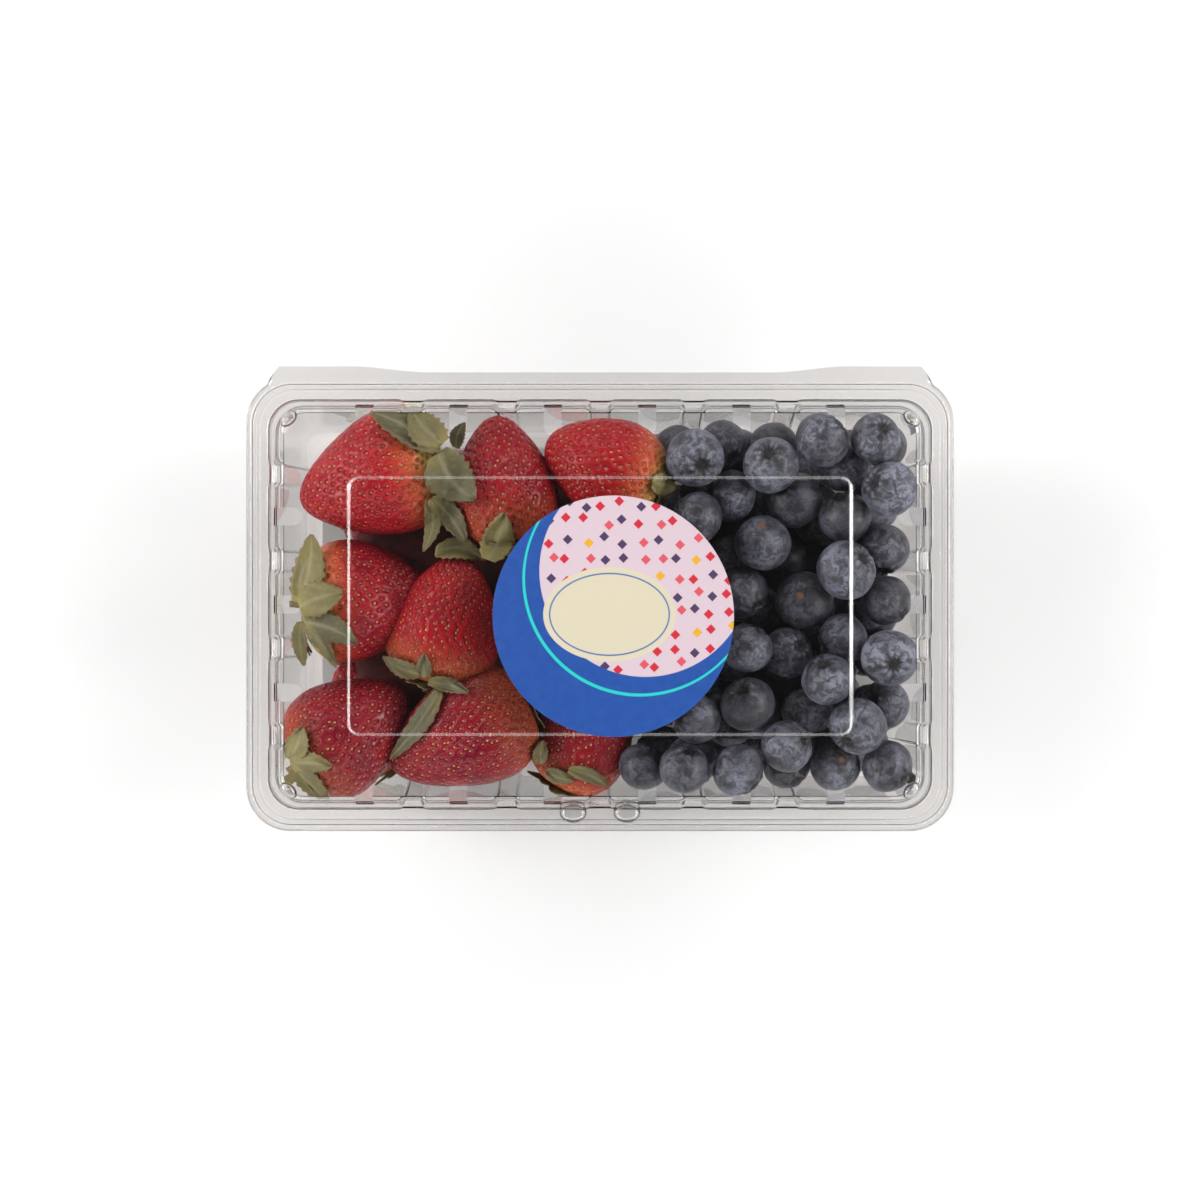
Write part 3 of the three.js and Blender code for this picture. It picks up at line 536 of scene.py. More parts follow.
def label_paper():
    """A plain printed label: a blue crescent over a pale pink field with small lozenges, and a
    bare cream oval."""
    material, tree, shader = new_material("label_paper", Roughness=0.32, Coat_Weight=0.3,
                                          Coat_Roughness=0.1)
    place = add(tree, "TexCoord").outputs["Object"]
    centre = (LABEL_LOW + LABEL_HIGH) / 2 * MM

    def inside(dx, dy, radius_x, radius_y, soft=0.00012):
        """1 inside an ellipse about a place on the label, 0 outside."""
        moved = add(tree, "Mapping", vector_type="POINT")
        fill(tree, moved.inputs["Vector"], place)
        moved.inputs["Location"].default_value = (
            -(centre[0] + dx * MM) / (radius_x * MM), -(centre[1] + dy * MM) / (radius_y * MM), 0)
        moved.inputs["Scale"].default_value = (1 / (radius_x * MM), 1 / (radius_y * MM), 0)
        length = add(tree, "VectorMath", operation="LENGTH")
        fill(tree, length.inputs[0], moved.outputs[0])
        edge = soft / (radius_x * MM)
        return ranged(tree, length.outputs["Value"], 1 - edge, 1 + edge, 1.0, 0.0)

    lozenges = add(tree, "TexVoronoi", voronoi_dimensions="2D", distance="MANHATTAN")
    fill(tree, lozenges.inputs["Vector"], place)
    lozenges.inputs["Scale"].default_value = 210.0
    lozenges.inputs["Randomness"].default_value = 0.55
    tones = add(tree, "ValToRGB")
    tones.color_ramp.interpolation = "CONSTANT"
    shown = ((0.0, (0.62, 0.03, 0.05)), (0.34, (0.08, 0.05, 0.12)), (0.58, (0.80, 0.42, 0.03)),
             (0.74, (0.70, 0.10, 0.13)))
    for n, (start, colour) in enumerate(shown):
        stop = tones.color_ramp.elements[n] if n < 2 else tones.color_ramp.elements.new(start)
        stop.position = start
        stop.color = (*colour, 1)
    pick = add(tree, "SeparateColor")
    fill(tree, pick.inputs[0], lozenges.outputs["Color"])
    fill(tree, tones.inputs[0], pick.outputs[0])
    spot = ranged(tree, lozenges.outputs["Distance"], 0.26, 0.30, 1.0, 0.0)
    field = blended(tree, spot, (0.68, 0.54, 0.60), tones.outputs[0])
    bow = inside(8.5, 12.0, 28.0, 28.0)
    blue = blended(tree, mottle(tree, 400.0).outputs["Mask"], (0.022, 0.080, 0.34),
                   (0.026, 0.092, 0.37))
    line = sum_of(tree, inside(7.0, 9.8, 31.0, 31.0), inside(7.2, 10.1, 30.5, 30.5), "SUBTRACT",
                  True)
    lower = blended(tree, line, blue, (0.03, 0.60, 0.56))
    print_ = blended(tree, bow, lower, field)
    oval = inside(-1.0, 0.5, 17.5, 12.5)
    ring = sum_of(tree, inside(-1.0, 0.5, 16.0, 11.0), inside(-1.0, 0.5, 15.6, 10.6), "SUBTRACT",
                  True)
    cream = blended(tree, ring, (0.68, 0.62, 0.46), (0.10, 0.17, 0.40))
    fill(tree, shader.inputs["Base Color"], blended(tree, oval, print_, cream))
    return material


def pale_floor():
    material, tree, shader = new_material("pale_floor", Roughness=0.9)
    patches = mottle(tree, 3.0)
    fill(tree, shader.inputs["Base Color"],
         blended(tree, patches.outputs["Mask"], (0.93, 0.93, 0.93), (0.94, 0.94, 0.94)))
    return material


# ---- The clamshell ------------------------------------------------------------------------

Station = namedtuple("Station", "side turn fixed stretch rib vent")


def stations():
    """The stations round a rounded rectangle, anticlockwise from its right side's back end.

    A corner's stations turn round its arc. A side's lie at fixed places, close together where
    a rib slopes or a vent ends, and past the last rib they stretch to the corner."""
    half = RIB_WIDTH / 2
    out = []
    for corner in range(4):
        for k in range(CORNER_STEPS + 1):
            out.append((corner, k / CORNER_STEPS * math.pi / 2, 0, 0, 0, 9))
        side = (corner + 1) % 4
        ribs = LONG_RIBS if side % 2 else SHORT_RIBS
        vents = LONG_VENTS if side % 2 else SHORT_VENTS
        slopes = [at + way * (half - RIB_SLOPE * k / 6) for at in ribs for way in (-1, 1)
                  for k in range(7)]
        mouths = [at + VENT_WIDTH / 2 * math.sin(math.pi / 2 * k / 5) for at in vents
                  for k in range(-5, 6)]
        beside = [at + way * (VENT_WIDTH / 2 + 0.25) for at in vents for way in (-1, 1)]
        places = sorted(set(round(v, 4) for v in slopes + mouths + beside))
        end = max(places)
        for at in places:
            near = min(abs(at - rib) for rib in ribs)
            rib = float(smooth_step(half, half - RIB_SLOPE, near))
            vent = min((at - v for v in vents), key=abs)
            out.append((side, np.nan, at, 0, rib, vent))
        for k in range(1, 5):
            out.append((side, np.nan, end, k / 5, 0, 9))
        for k in range(1, 5):
            out.append((side, np.nan, -end, k / 5, 0, 9))
    order = sorted(range(len(out)), key=lambda i: station_order(out[i]))
    return Station(*(np.array(column, float) for column in zip(*(out[i] for i in order))))


def station_order(station):
    """Where a station comes on the way round: its side, its corner first, then along."""
    side, turn, fixed, stretch = station[:4]
    if not math.isnan(turn):
        return (side, turn - 10)
    return ((side - 1) % 4, 1000 + fixed * (1 + stretch))


def side_way(s):
    """The cosine and sine of the way each station's side faces."""
    side = s.side.astype(int)
    return np.array([1, 0, -1, 0])[side], np.array([0, 1, 0, -1])[side]


def ring_points(s, inset_x, inset_y, z, depth):
    """The points of a ring: half sizes less the insets, corners by their arc, and the ribs
    drawn in by their depth."""
    radius = CORNER_RADIUS - CORNER_SHRINK * inset_y
    x, y = RIM_X / 2 - inset_x, RIM_Y / 2 - inset_y
    odd = s.side % 2 == 1
    across = np.where(odd, y, x)
    along = np.where(odd, x, y)
    straight = s.fixed * (1 - s.stretch) + np.sign(s.fixed) * (along - radius) * s.stretch
    corner = ~np.isnan(s.turn)
    turn = np.nan_to_num(s.turn)
    out = np.where(corner, across - radius + radius * np.cos(turn), across - depth * s.rib)
    on = np.where(corner, along - radius + radius * np.sin(turn), straight)
    c, n = side_way(s)
    return np.stack([c * out - n * on, TRAY_Y + n * out + c * on, np.full(len(out), float(z))], -1)


def rounded(section, cut, steps=4):
    """A section with each inner point replaced by an arc: a quadratic curve from a short way
    before it to a short way after."""
    section = np.array(section, float)
    out = [section[0]]
    for before, point, after in zip(section, section[1:], section[2:]):
        a = point + (before - point) * min(0.45, cut / np.linalg.norm((before - point)[[0, 2]]))
        b = point + (after - point) * min(0.45, cut / np.linalg.norm((after - point)[[0, 2]]))
        for t in np.linspace(0, 1, steps):
            out.append((1 - t) ** 2 * a + 2 * t * (1 - t) * point + t * t * b)
    out.append(section[-1])
    return np.array(out)


def panel_ring(s, x, y, radius, y0, z):
    """A ring on a smaller rounded rectangle: the side stations spread over its own sides."""
    ring = ring_points(s, RIM_X / 2 - x / 2, RIM_Y / 2 - y / 2, z, 0)
    odd = s.side % 2 == 1
    reach = np.where(odd, RIM_X / 2 - VENT_END - 2, RIM_Y / 2 - VENT_END - 2)
    size = np.where(odd, x / 2, y / 2) - radius
    on = (s.fixed + np.sign(s.fixed) * s.stretch * (reach - np.abs(s.fixed))) / reach * size
    corner = ~np.isnan(s.turn)
    turn = np.nan_to_num(s.turn)
    across = np.where(odd, y / 2, x / 2)
    along = np.where(odd, x / 2, y / 2)
    out = np.where(corner, across - radius + radius * np.cos(turn), across)
    on = np.where(corner, along - radius + radius * np.sin(turn), on)
    c, n = side_way(s)
    ring[:, 0] = c * out - n * on
    ring[:, 1] = TRAY_Y + y0 + n * out + c * on
    return ring


def shell(rings, middle):
    """A sheet through rings from the rim inwards, closed in the middle by a fan."""
    rows, round_ = rings.shape[:2]
    index = np.arange(rows * round_).reshape(rows, round_)
    after = np.roll(index, -1, axis=1)
    quads = np.stack([index[:-1], after[:-1], after[1:], index[1:]], -1).reshape(-1, 4)
    centre = np.full(round_, rows * round_)
    fan = np.stack([index[-1], after[-1], centre], -1)
    points = np.concatenate([rings.reshape(-1, 3), [middle]])
    return Surface(points, quads, fan, {})


def thickened(piece, wall, offset, sharp=None):
    """Gives a sheet its wall. With an angle, edges sharper than it are shaded sharp."""
    solid = piece.modifiers.new("wall", "SOLIDIFY")
    solid.thickness = wall * MM
    solid.offset = offset
    if sharp:
        seen = piece.evaluated_get(bpy.context.evaluated_depsgraph_get())
        thin, mesh = piece.data, bpy.data.meshes.new_from_object(seen)
        piece.modifiers.clear()
        piece.data = mesh
        bpy.data.meshes.remove(thin)
        mesh.name = piece.name
        mesh.set_sharp_from_angle(angle=math.radians(sharp))
    return piece


# Both sections go from the rim inwards: inset along x, inset along y, height, and how far the
# ribs are drawn in there.
LID_SECTION = (
    (0.35, 0.35, LID_RIM - 1.1, 0), (0.3, 0.3, LID_RIM, 0), (1.6, 1.6, LID_RIM, 0),
    (2.2, 2.2, LID_RIM + 1.2, 0), (3.4, 3.4, LID_RIM + 1.2, 0), (4.0, 4.0, LID_RIM, 0),
    (6.1, 6.1, LID_RIM, 1.4), (8.2, 7.8, VENT_LOW, 1.1), (9.8, 9.2, PANEL_TOP - 1.2, 0.7),
    (11.3, 10.2, PANEL_TOP, 0),
)
TRAY_SECTION = (
    (0.3, 0.3, RIM_TOP - 1.6, 0), (0.3, 0.3, RIM_TOP, 0), (6.7, 6.7, RIM_TOP, 0),
    (7.2, 7.2, LEDGE + 0.8, 0), (7.9, 7.9, LEDGE, 1.4), (12.9, 12.9, WALL + 1.4, 1.4),
    (14.4, 14.4, WALL, 1.0), (17.0, 17.0, WALL, 0),
)


def hinge_outline(s, ring):
    """The outer edge of the hinge for each station of a ring, and whether the station takes
    it: near the end of each back corner a straight line to the strip's end, then the strip's
    edge, which is drawn in along its middle."""
    edge = TRAY_Y + RIM_Y / 2 + HINGE_REACH - 0.1
    x = ring[:, 0].copy()
    y = edge - HINGE["draw_in"] * smooth_step(HINGE["from"], HINGE["to"], np.abs(x))
    corner = ~np.isnan(s.turn) & (s.side <= 1)
    turn = np.nan_to_num(s.turn)
    turn = np.where(s.side == 1, math.pi / 2 - turn, turn)
    way = np.where(s.side == 1, -1.0, 1.0)
    first, last = (k / CORNER_STEPS * math.pi / 2 for k in HINGE["corner"])
    share = np.clip((turn - first) / (last - first), 0, 1)
    tip = np.clip((turn - last) / (math.pi / 2 - last), 0, 1)
    start = (RIM_X / 2 - CORNER_RADIUS * (1 - math.cos(first)),
             TRAY_Y + RIM_Y / 2 - CORNER_RADIUS * (1 - math.sin(first)))
    corner_x = mix(start[0], HINGE["half"], share)
    corner_x = way * mix(corner_x, RIM_X / 2 - CORNER_RADIUS, tip)
    x = np.where(corner, corner_x, x)
    y = np.where(corner, mix(start[1], edge, share), y)
    takes = np.where(corner, turn > first + NARROW, s.side == 1)
    return x, y, takes.astype(float)


def with_hinge(s, rings, z, lip_rows):
    """Rings whose first few, the lip, turn into one leaf of the hinge along the back."""
    rim = rings[lip_rows]
    x, y, takes = hinge_outline(s, rim)
    for row in range(lip_rows):
        q = (1 - row / lip_rows) ** 0.8
        leaf = np.stack([mix(rim[:, 0], x, q), mix(rim[:, 1], y, q), np.full(len(x), z)], -1)
        rings[row] = mix(rings[row], leaf, takes[:, None])
    return rings


def lid_surface(s):
    """The lid: its section round the rim, a flat panel with vents, and the raised plateau."""
    rings = [ring_points(s, *row) for row in rounded(LID_SECTION, ROUNDING["lid"])]
    rings = with_hinge(s, rings, LID_RIM, LIP_ROWS)
    flat = VENT_END - VENT_WIDTH / 2
    rings.append(ring_points(s, flat - 0.3, flat - 0.3, PANEL_TOP, 0))
    mouth = np.abs(s.vent) <= VENT_WIDTH / 2 + NARROW
    bulge = np.where(mouth, np.sqrt(np.maximum(0, (VENT_WIDTH / 2) ** 2 - s.vent ** 2)), 0)
    round_end = ring_points(s, flat, flat, PANEL_TOP, 0)
    round_end[:, :2] -= np.stack(side_way(s), -1) * bulge[:, None]
    rings.append(round_end)
    rings.append(ring_points(s, VENT_END + 1, VENT_END + 1, PANEL_TOP, 0))
    x, y, r, y0 = PLATEAU["x"], PLATEAU["y"], PLATEAU["radius"], PLATEAU["y0"]
    rise, slope = PLATEAU["rise"], PLATEAU["slope"]
    step = ((-1.5, 0), (0, 0), (slope, rise), (slope + 1.5, rise))
    for inset, _, up, _ in rounded([(a, 0, b, 0) for a, b in step], ROUNDING["plateau"]):
        rings.append(panel_ring(s, x - 2 * inset, y - 2 * inset, max(0.8, r - inset), y0,
                                PANEL_TOP + up))
    return shell(np.array(rings), (0, TRAY_Y + y0, PLATEAU_TOP))


def tray_surface(s):
    """The tray: rim, ledge, ribbed walls and a floor with a raised panel."""
    rings = [ring_points(s, *row) for row in rounded(TRAY_SECTION, ROUNDING["tray"])]
    rings = with_hinge(s, rings, RIM_TOP, LIP_ROWS)
    x, y, radius = FOOT_PANEL["x"], FOOT_PANEL["y"], FOOT_PANEL["radius"]
    rise, slope = FOOT_PANEL["rise"], FOOT_PANEL["slope"]
    step = ((-3, 0), (0, 0), (slope, rise), (slope + 2.9, rise))
    for inset, _, up, _ in rounded([(a, 0, b, 0) for a, b in step], ROUNDING["foot"]):
        rings.append(panel_ring(s, x - 2 * inset, y - 2 * inset, radius - 0.5 * inset, 0,
                                WALL + up))
    return shell(np.array(rings), (0, TRAY_Y, WALL + rise))


def without_vents(surface, s, first_row, last_row):
    """A shell without the faces between two rows that lie in the vents."""
    count = len(s.side)
    mouth = np.abs((s.vent + np.roll(s.vent, -1)) / 2) < VENT_WIDTH / 2
    for vent in (s.vent, np.roll(s.vent, -1)):
        mouth &= np.abs(vent) <= VENT_WIDTH / 2 + NARROW
    row = np.arange(len(surface.quads)) // count
    column = np.arange(len(surface.quads)) % count
    cut = mouth[column] & (row >= first_row) & (row < last_row)
    return Surface(surface.points, surface.quads[~cut], surface.triangles, surface.marks)


def dome(foot, size, turn):
    """A low dome on an oval foot, for the corner lugs and the two halves of the latch."""
    (x, y, z), (long, deep, high) = foot, size
    lean = np.linspace(0, math.pi / 2, 7)[:-1, None]
    angle = np.linspace(0, 2 * math.pi, 32, endpoint=False)[None, :]
    across, inward = long * np.cos(angle) * np.cos(lean), deep * np.sin(angle) * np.cos(lean)
    points = np.stack([
        x + across * math.cos(turn) - inward * math.sin(turn),
        y + across * math.sin(turn) + inward * math.cos(turn),
        np.broadcast_to(z + high * np.sin(lean), across.shape)], -1)
    return shell(points, (x, y, z + high))


# ---- Strawberries -------------------------------------------------------------------------


def frame_along(direction):
    """Three axes whose third points along a direction and whose second points up."""
    w = unit(direction)
    u = unit(np.cross((0, 0, 1), w))
    return u, np.cross(w, u), w


def strawberry_outline(phi, blunt):
    """A strawberry's radius as a share of its half width: a sine of phi, to just under its
    first power, that narrows evenly towards the tip, less so the blunter it is."""
    along = 0.5 - 0.5 * np.cos(phi)
    return np.sin(phi) ** 0.92 * (mix(1.40, 1.28, blunt) - mix(0.92, 0.58, blunt) * along)


def strawberry_points(berry, seed, phi, theta):
    """Points on a strawberry: its outline turned round its axis, with two, three and five soft
    lobes, and a hollow under the crown."""
    at, tip, length, width, _, blunt = berry
    u, v, w = frame_along(tip)
    along = 0.5 - 0.5 * np.cos(phi)
    share = strawberry_outline(phi, blunt)
    lobes = 1 + 0.04 * np.cos(2 * theta - 6 * scatter(seed))
    lobes += 0.025 * np.cos(3 * theta + 6 * scatter(seed + 20)) * np.sin(phi)
    lobes += 0.012 * np.cos(5 * theta + 4 * phi + 6 * scatter(seed + 40)) * np.sin(phi)
    r = width / 2 * share * lobes
    hollow = 0.05 * np.exp(-((share / 0.35) ** 2)) * (along < 0.5)
    rise = (along - 0.5 + hollow) * length
    middle = np.array([at[0], at[1] + TRAY_Y, at[2]])
    return (middle + (r * np.cos(theta))[..., None] * u + (r * np.sin(theta))[..., None] * v
            + (rise + 0 * theta)[..., None] * w)


def seed_places(berry, seed):
    """Places of the seeds: each takes an equal share of the skin and turns on by the golden
    angle. Returns phi and theta."""
    phi = np.linspace(0.02, math.pi - 0.02, 400)
    line = strawberry_points(berry, seed, phi, np.zeros(400))
    r = berry[3] / 2 * strawberry_outline(phi, berry[5])
    step = np.linalg.norm(np.diff(line, axis=0), axis=1)
    area = np.concatenate([[0], np.cumsum(2 * math.pi * (r[1:] + r[:-1]) / 2 * step)])
    count = int(area[-1] / (SEED_PITCH.get(seed, WIDE_PITCH) ** 2 * ROW_SHARE))
    n = np.arange(count)
    where = np.interp((n + 0.5) / count * area[-1], area, phi)
    keep = where > SEED_START
    wobble = (scatter(n + 31 * seed) - 0.5) * 0.12
    return where[keep], (n * SEED_TURN + wobble)[keep]


def surface_frame(berry, seed, phi, theta):
    """Points on a strawberry, with the directions outwards and towards the tip there."""
    e = 1e-3
    here = strawberry_points(berry, seed, phi, theta)
    down = strawberry_points(berry, seed, phi + e, theta) - here
    side = strawberry_points(berry, seed, phi, theta + e) - here
    out = np.cross(down, side)
    out /= np.linalg.norm(out, axis=-1, keepdims=True)
    down /= np.linalg.norm(down, axis=-1, keepdims=True)
    at = np.array([berry[0][0], berry[0][1] + TRAY_Y, berry[0][2]])
    flip = np.sign(np.einsum("...i,...i->...", out, here - at))
    return here, out * flip[..., None], down


def strawberry_flesh_surface(berry, seed):
    """A strawberry with a dimple at each seed: the skin is drawn in by a bell curve of the
    distance to the nearest seed, and stands up in a low lip round it."""
    rows, round_ = UPPER_GRID if berry[4] else LOWER_GRID
    phi = np.linspace(0, math.pi, rows + 2)[1:-1]
    turn = np.linspace(0, 2 * math.pi, round_, endpoint=False)
    grid_phi, grid_theta = np.meshgrid(phi, turn + CROWD * np.cos(turn), indexing="ij")
    points, out, _ = surface_frame(berry, seed, grid_phi, grid_theta)
    places, _, _ = surface_frame(berry, seed, *seed_places(berry, seed))
    flat = points.reshape(-1, 3)
    near = np.full(len(flat), 9.0)
    for block in np.array_split(np.arange(len(flat)), 12):
        gaps = np.linalg.norm(flat[block, None] - places[None], axis=2)
        near[block] = gaps.min(1)
    near = near.reshape(grid_phi.shape)
    pitch = SEED_PITCH.get(seed, WIDE_PITCH)
    near = near / pitch
    dent = DIMPLE["depth"] * np.exp(-((near / DIMPLE["radius"]) ** 2))
    lip = DIMPLE["lip"] * np.exp(-(((near - DIMPLE["lip_at"]) / DIMPLE["lip_width"]) ** 2))
    skin = points + out * ((lip - dent) * pitch)[..., None]
    shoulder = smooth_step(1.45, 0.55, grid_phi)
    ends = strawberry_points(berry, seed, np.array([0.0, math.pi]), np.array([0.0, 0.0]))
    even = np.ones_like(near)
    # the last of these sets how strong each berry's painted highlight rings round the seeds are
    unripe, scarlet, painted_ring_highlight = (table.get(seed, HIDDEN_MARK) for table in (UNRIPE, SCARLET, PAINTED_RING_HIGHLIGHT))
    marks = {
        "seed_distance": ((9, 9), near),
        "unripe": ((1, 0), shoulder * unripe),
        "scarlet": ((scarlet, scarlet), even * scarlet),
        "painted_ring_highlight": ((0, 0), even * painted_ring_highlight),
    }
    return closed(ends[0], skin, ends[1], marks)


def seeds_surface(berry, seed):
    """The seeds of a strawberry: flat drops of twelve faces, in their dimples, pointing at the
    tip."""
    phi, theta = seed_places(berry, seed)
    here, out, down = surface_frame(berry, seed, phi, theta)
    side = np.cross(out, down)
    here = here - out * (DIMPLE["depth"] * SEED_PITCH.get(seed, WIDE_PITCH) - SEED["sunk"])
    sides = SEED["sides"]
    angle = np.linspace(0, 2 * math.pi, sides, endpoint=False)
    narrow = 1 - SEED["narrowing"] * np.cos(angle)
    ring = (np.cos(angle)[None, :, None] * SEED["long"] * down[:, None]
            + (np.sin(angle) * narrow)[None, :, None] * SEED["wide"] * side[:, None])
    top = here + out * SEED["high"]
    low = here - out * SEED["high"]
    points = np.concatenate([here[:, None] + ring, top[:, None], low[:, None]], axis=1)
    j = np.arange(sides)
    after = (j + 1) % sides
    cap = np.concatenate([np.stack([j, after, np.full(sides, sides)], -1),
                          np.stack([after, j, np.full(sides, sides + 1)], -1)])
    faces = (cap[None] + (sides + 2) * np.arange(len(here))[:, None, None]).reshape(-1, 3)
    return Surface(points.reshape(-1, 3), np.zeros((0, 4), int), faces, {})


# ---- Leaves -------------------------------------------------------------------------------

# Leaves that show from above: foot and tip in plan, width, sideways bow, lift over what they
# lie on at foot and tip, tone (0 grey-green, 1 yellow-green) and how dry the edge is.
LEAVES = (
    (-43.5, 40.5, -61.5, 50.2, 8.5, -1.0, 1.5, 2.5, 0.10, 0.35),
    (-42.0, 41.8, -50.8, 51.2, 9.0, 1.0, 2.5, 3.0, 0.45, 0.25),
    (-39.5, 41.5, -37.0, 48.5, 4.2, 0.8, 2.0, 3.5, 0.05, 0.9),
    (-43.5, 39.0, -33.5, 26.5, 12.5, -1.5, 2.5, 2.5, 0.18, 0.1),
    (-45.0, 27.0, -36.0, 15.5, 6.5, 0.8, 1.5, 1.0, 0.15, 0.3),
    (-45.5, 26.5, -47.5, 12.8, 4.4, 1.5, 1.0, 1.2, 0.35, 0.3),
    (-44.5, 13.0, -31.0, 10.8, 6.0, 2.0, 2.5, 1.0, 0.45, 0.3),
    (-30.0, 10.5, -25.5, 23.0, 8.6, -0.8, 1.0, 1.5, 0.75, 0.2),
    (-80.5, -1.0, -77.5, 17.5, 9.0, -1.0, 1.5, 2.0, 0.55, 0.3),
    (-80.5, -2.0, -68.5, 2.0, 9.5, 0.5, 2.5, 2.0, 0.6, 0.15),
    (-79.0, -6.0, -65.0, -11.5, 8.0, 1.0, 1.0, 2.0, 0.12, 0.3),
    (-81.0, -6.0, -80.0, -18.0, 4.5, -0.6, 1.0, 1.0, 0.4, 0.4),
    (-79.0, -7.0, -71.0, -18.5, 4.0, 1.0, 1.0, 0.8, 0.3, 0.4),
    (-48.0, -20.0, -58.5, -15.5, 5.0, 0.8, 0.5, 1.0, 0.2, 0.7),
    (-47.0, -21.0, -47.0, -14.5, 4.2, 0.0, 1.0, 1.2, 0.2, 0.7),
    (-46.0, -22.0, -35.0, -25.0, 4.0, 0.6, 0.5, 1.0, 0.2, 0.6),
    (-83.0, -43.0, -79.5, -34.0, 6.5, -0.5, 1.5, 1.5, 0.6, 0.2),
    (-83.0, -44.0, -71.5, -44.5, 6.0, 0.5, 2.0, 1.5, 0.55, 0.25),
    (-82.5, -45.5, -73.0, -55.0, 6.0, 0.5, 1.0, 1.0, 0.4, 0.3),
    (-43.0, -24.5, -56.5, -43.0, 5.5, 0.8, 0.5, 0.5, 0.05, 0.5),
    (14.0, 31.0, 20.5, 30.0, 6.0, 0.3, 1.0, 1.0, 0.7, 0.5),
    (-16.0, -44.5, -15.5, -38.0, 4.0, 0.3, 0.8, 0.8, 0.45, 0.5),
    (-14.5, -46.5, -7.0, -49.0, 4.2, -0.4, 0.8, 0.8, 0.3, 0.6),
    (-8.5, -46.0, 2.5, -50.5, 4.0, 0.8, 0.8, 0.8, 0.3, 0.6),
)


class HeightMap:
    """How high the tops of a set of points lie over a plan, in half-millimetre cells."""

    cell = 0.5

    def __init__(self, points):
        self.low = np.array([-100.0, -70.0])
        shape = (400, 280)
        self.z = np.full(shape, 3.0)
        index = ((points[:, :2] - self.low) / self.cell).astype(int)
        np.maximum.at(self.z, (index[:, 0], index[:, 1]), points[:, 2])
        for _ in range(2):
            self.z = self.spread(np.maximum)
        for _ in range(3):
            self.z = self.spread(np.add) / 9

    def spread(self, combine):
        """Each cell combined with the eight round it."""
        shifts = [np.roll(self.z, (i, j), (0, 1)) for i in (-1, 0, 1) for j in (-1, 0, 1)]
        out = shifts[0]
        for shift in shifts[1:]:
            out = combine(out, shift)
        return out

    def over(self, x, y):
        i = np.clip(((x - self.low[0]) / self.cell).astype(int), 0, self.z.shape[0] - 1)
        j = np.clip(((y - self.low[1]) / self.cell).astype(int), 0, self.z.shape[1] - 1)
        return self.z[i, j]


def leaf_surface(leaf, ground, seed):
    """A leaf that lies over the berries: a bowed middle line, a width of a raised sine with
    small teeth, folded a little along its middle, and kept above the ground's height."""
    x0, y0, x1, y1, width, bow, lift0, lift1, tone, dry = leaf
    rows, columns = 22, 11
    s = np.linspace(0, 1, rows)[:, None]
    t = np.linspace(-1, 1, columns)[None, :]
    along = unit((x1 - x0, y1 - y0))
    side = np.array([-along[1], along[0]])
    teeth = 1 + 0.10 * np.abs(t) ** 4 * np.cos(2 * math.pi * (7 * s + scatter(seed)))
    half = width / 2 * np.sin(math.pi * np.clip(0.06 + 0.92 * s, 0, 1) ** 0.8) ** 0.75 * teeth
    off = t * half + bow * np.sin(math.pi * s)
    x = x0 + (x1 - x0) * s + off * side[0]
    y = y0 + (y1 - y0) * s + off * side[1]
    lift = mix(lift0, lift1, s) + 0.6 * np.sin(5 * s + 4 * t + 6 * scatter(seed))
    fold = 0.9 * np.abs(t) * np.sin(math.pi * s) * (1 if scatter(seed + 3) > 0.4 else -1)
    z = ground.over(x, y) + np.maximum(0.35, lift + fold * width / 9)
    z = np.minimum(z, LEAF_TOP)
    z = np.maximum(z, z.max() - LEAF_DROP)
    z = (z + np.roll(z, 1, 0) + np.roll(z, -1, 0)) / 3
    z[0], z[-1] = 2 * z[1] - z[2], 2 * z[-2] - z[-3]
    vein = np.exp(-((t / 0.09) ** 2)) + 0.6 * np.exp(-((np.sin(math.pi * (6 * s - 2.4 * np.abs(t)))
                                                         / 0.22) ** 2))
    edge = smooth_step(0.62, 1.0, np.abs(t)) + smooth_step(0.8, 1.0, s)
    shape = (rows, columns)
    marks = {
        "tone": np.broadcast_to(tone + 0.5 * (1 - smooth_step(0, 0.3, s)), shape),
        "vein": np.clip(vein, 0, 1),
        "dry": np.clip(np.broadcast_to(edge, shape) * dry, 0, 1),
    }
    return sheet_grid(np.stack([x, y, z], -1), marks)


def sepal_surface(berry, seed, turn, reach, spread):
    """A sepal that hugs a berry's shoulder: from under the stem out along the skin, lifting at
    its tip."""
    rows, columns = 12, 7
    s = np.linspace(0, 1, rows)[:, None]
    t = np.linspace(-1, 1, columns)[None, :]
    width, shape = berry[3], (rows, columns)
    phi = 0.10 + s * reach / (width / 2) * 0.9
    half = spread * np.sin(math.pi * np.clip(0.1 + 0.88 * s, 0, 1) ** 0.8) ** 0.8
    theta = turn + t * half / (width / 2 * np.sin(np.minimum(phi, 1.4)) + 1.0)
    here, out, _ = surface_frame(berry, seed, np.broadcast_to(phi, shape), theta)
    lift = 0.35 + (0.4 + 1.6 * scatter(seed * 7 + turn)) * s ** 2 + 0.3 * np.abs(t)
    marks = {
        "tone": np.broadcast_to(0.25 + 0.5 * scatter(seed + turn) + CROWN_TONE.get(seed, 0) + 0 * s,
                                shape),
        "vein": np.broadcast_to(np.exp(-((t / 0.12) ** 2)), shape),
        "dry": np.broadcast_to(0.5 * smooth_step(0.75, 1.0, s) + 0 * t, shape),
    }
    return sheet_grid(here + out * lift[..., None], marks)


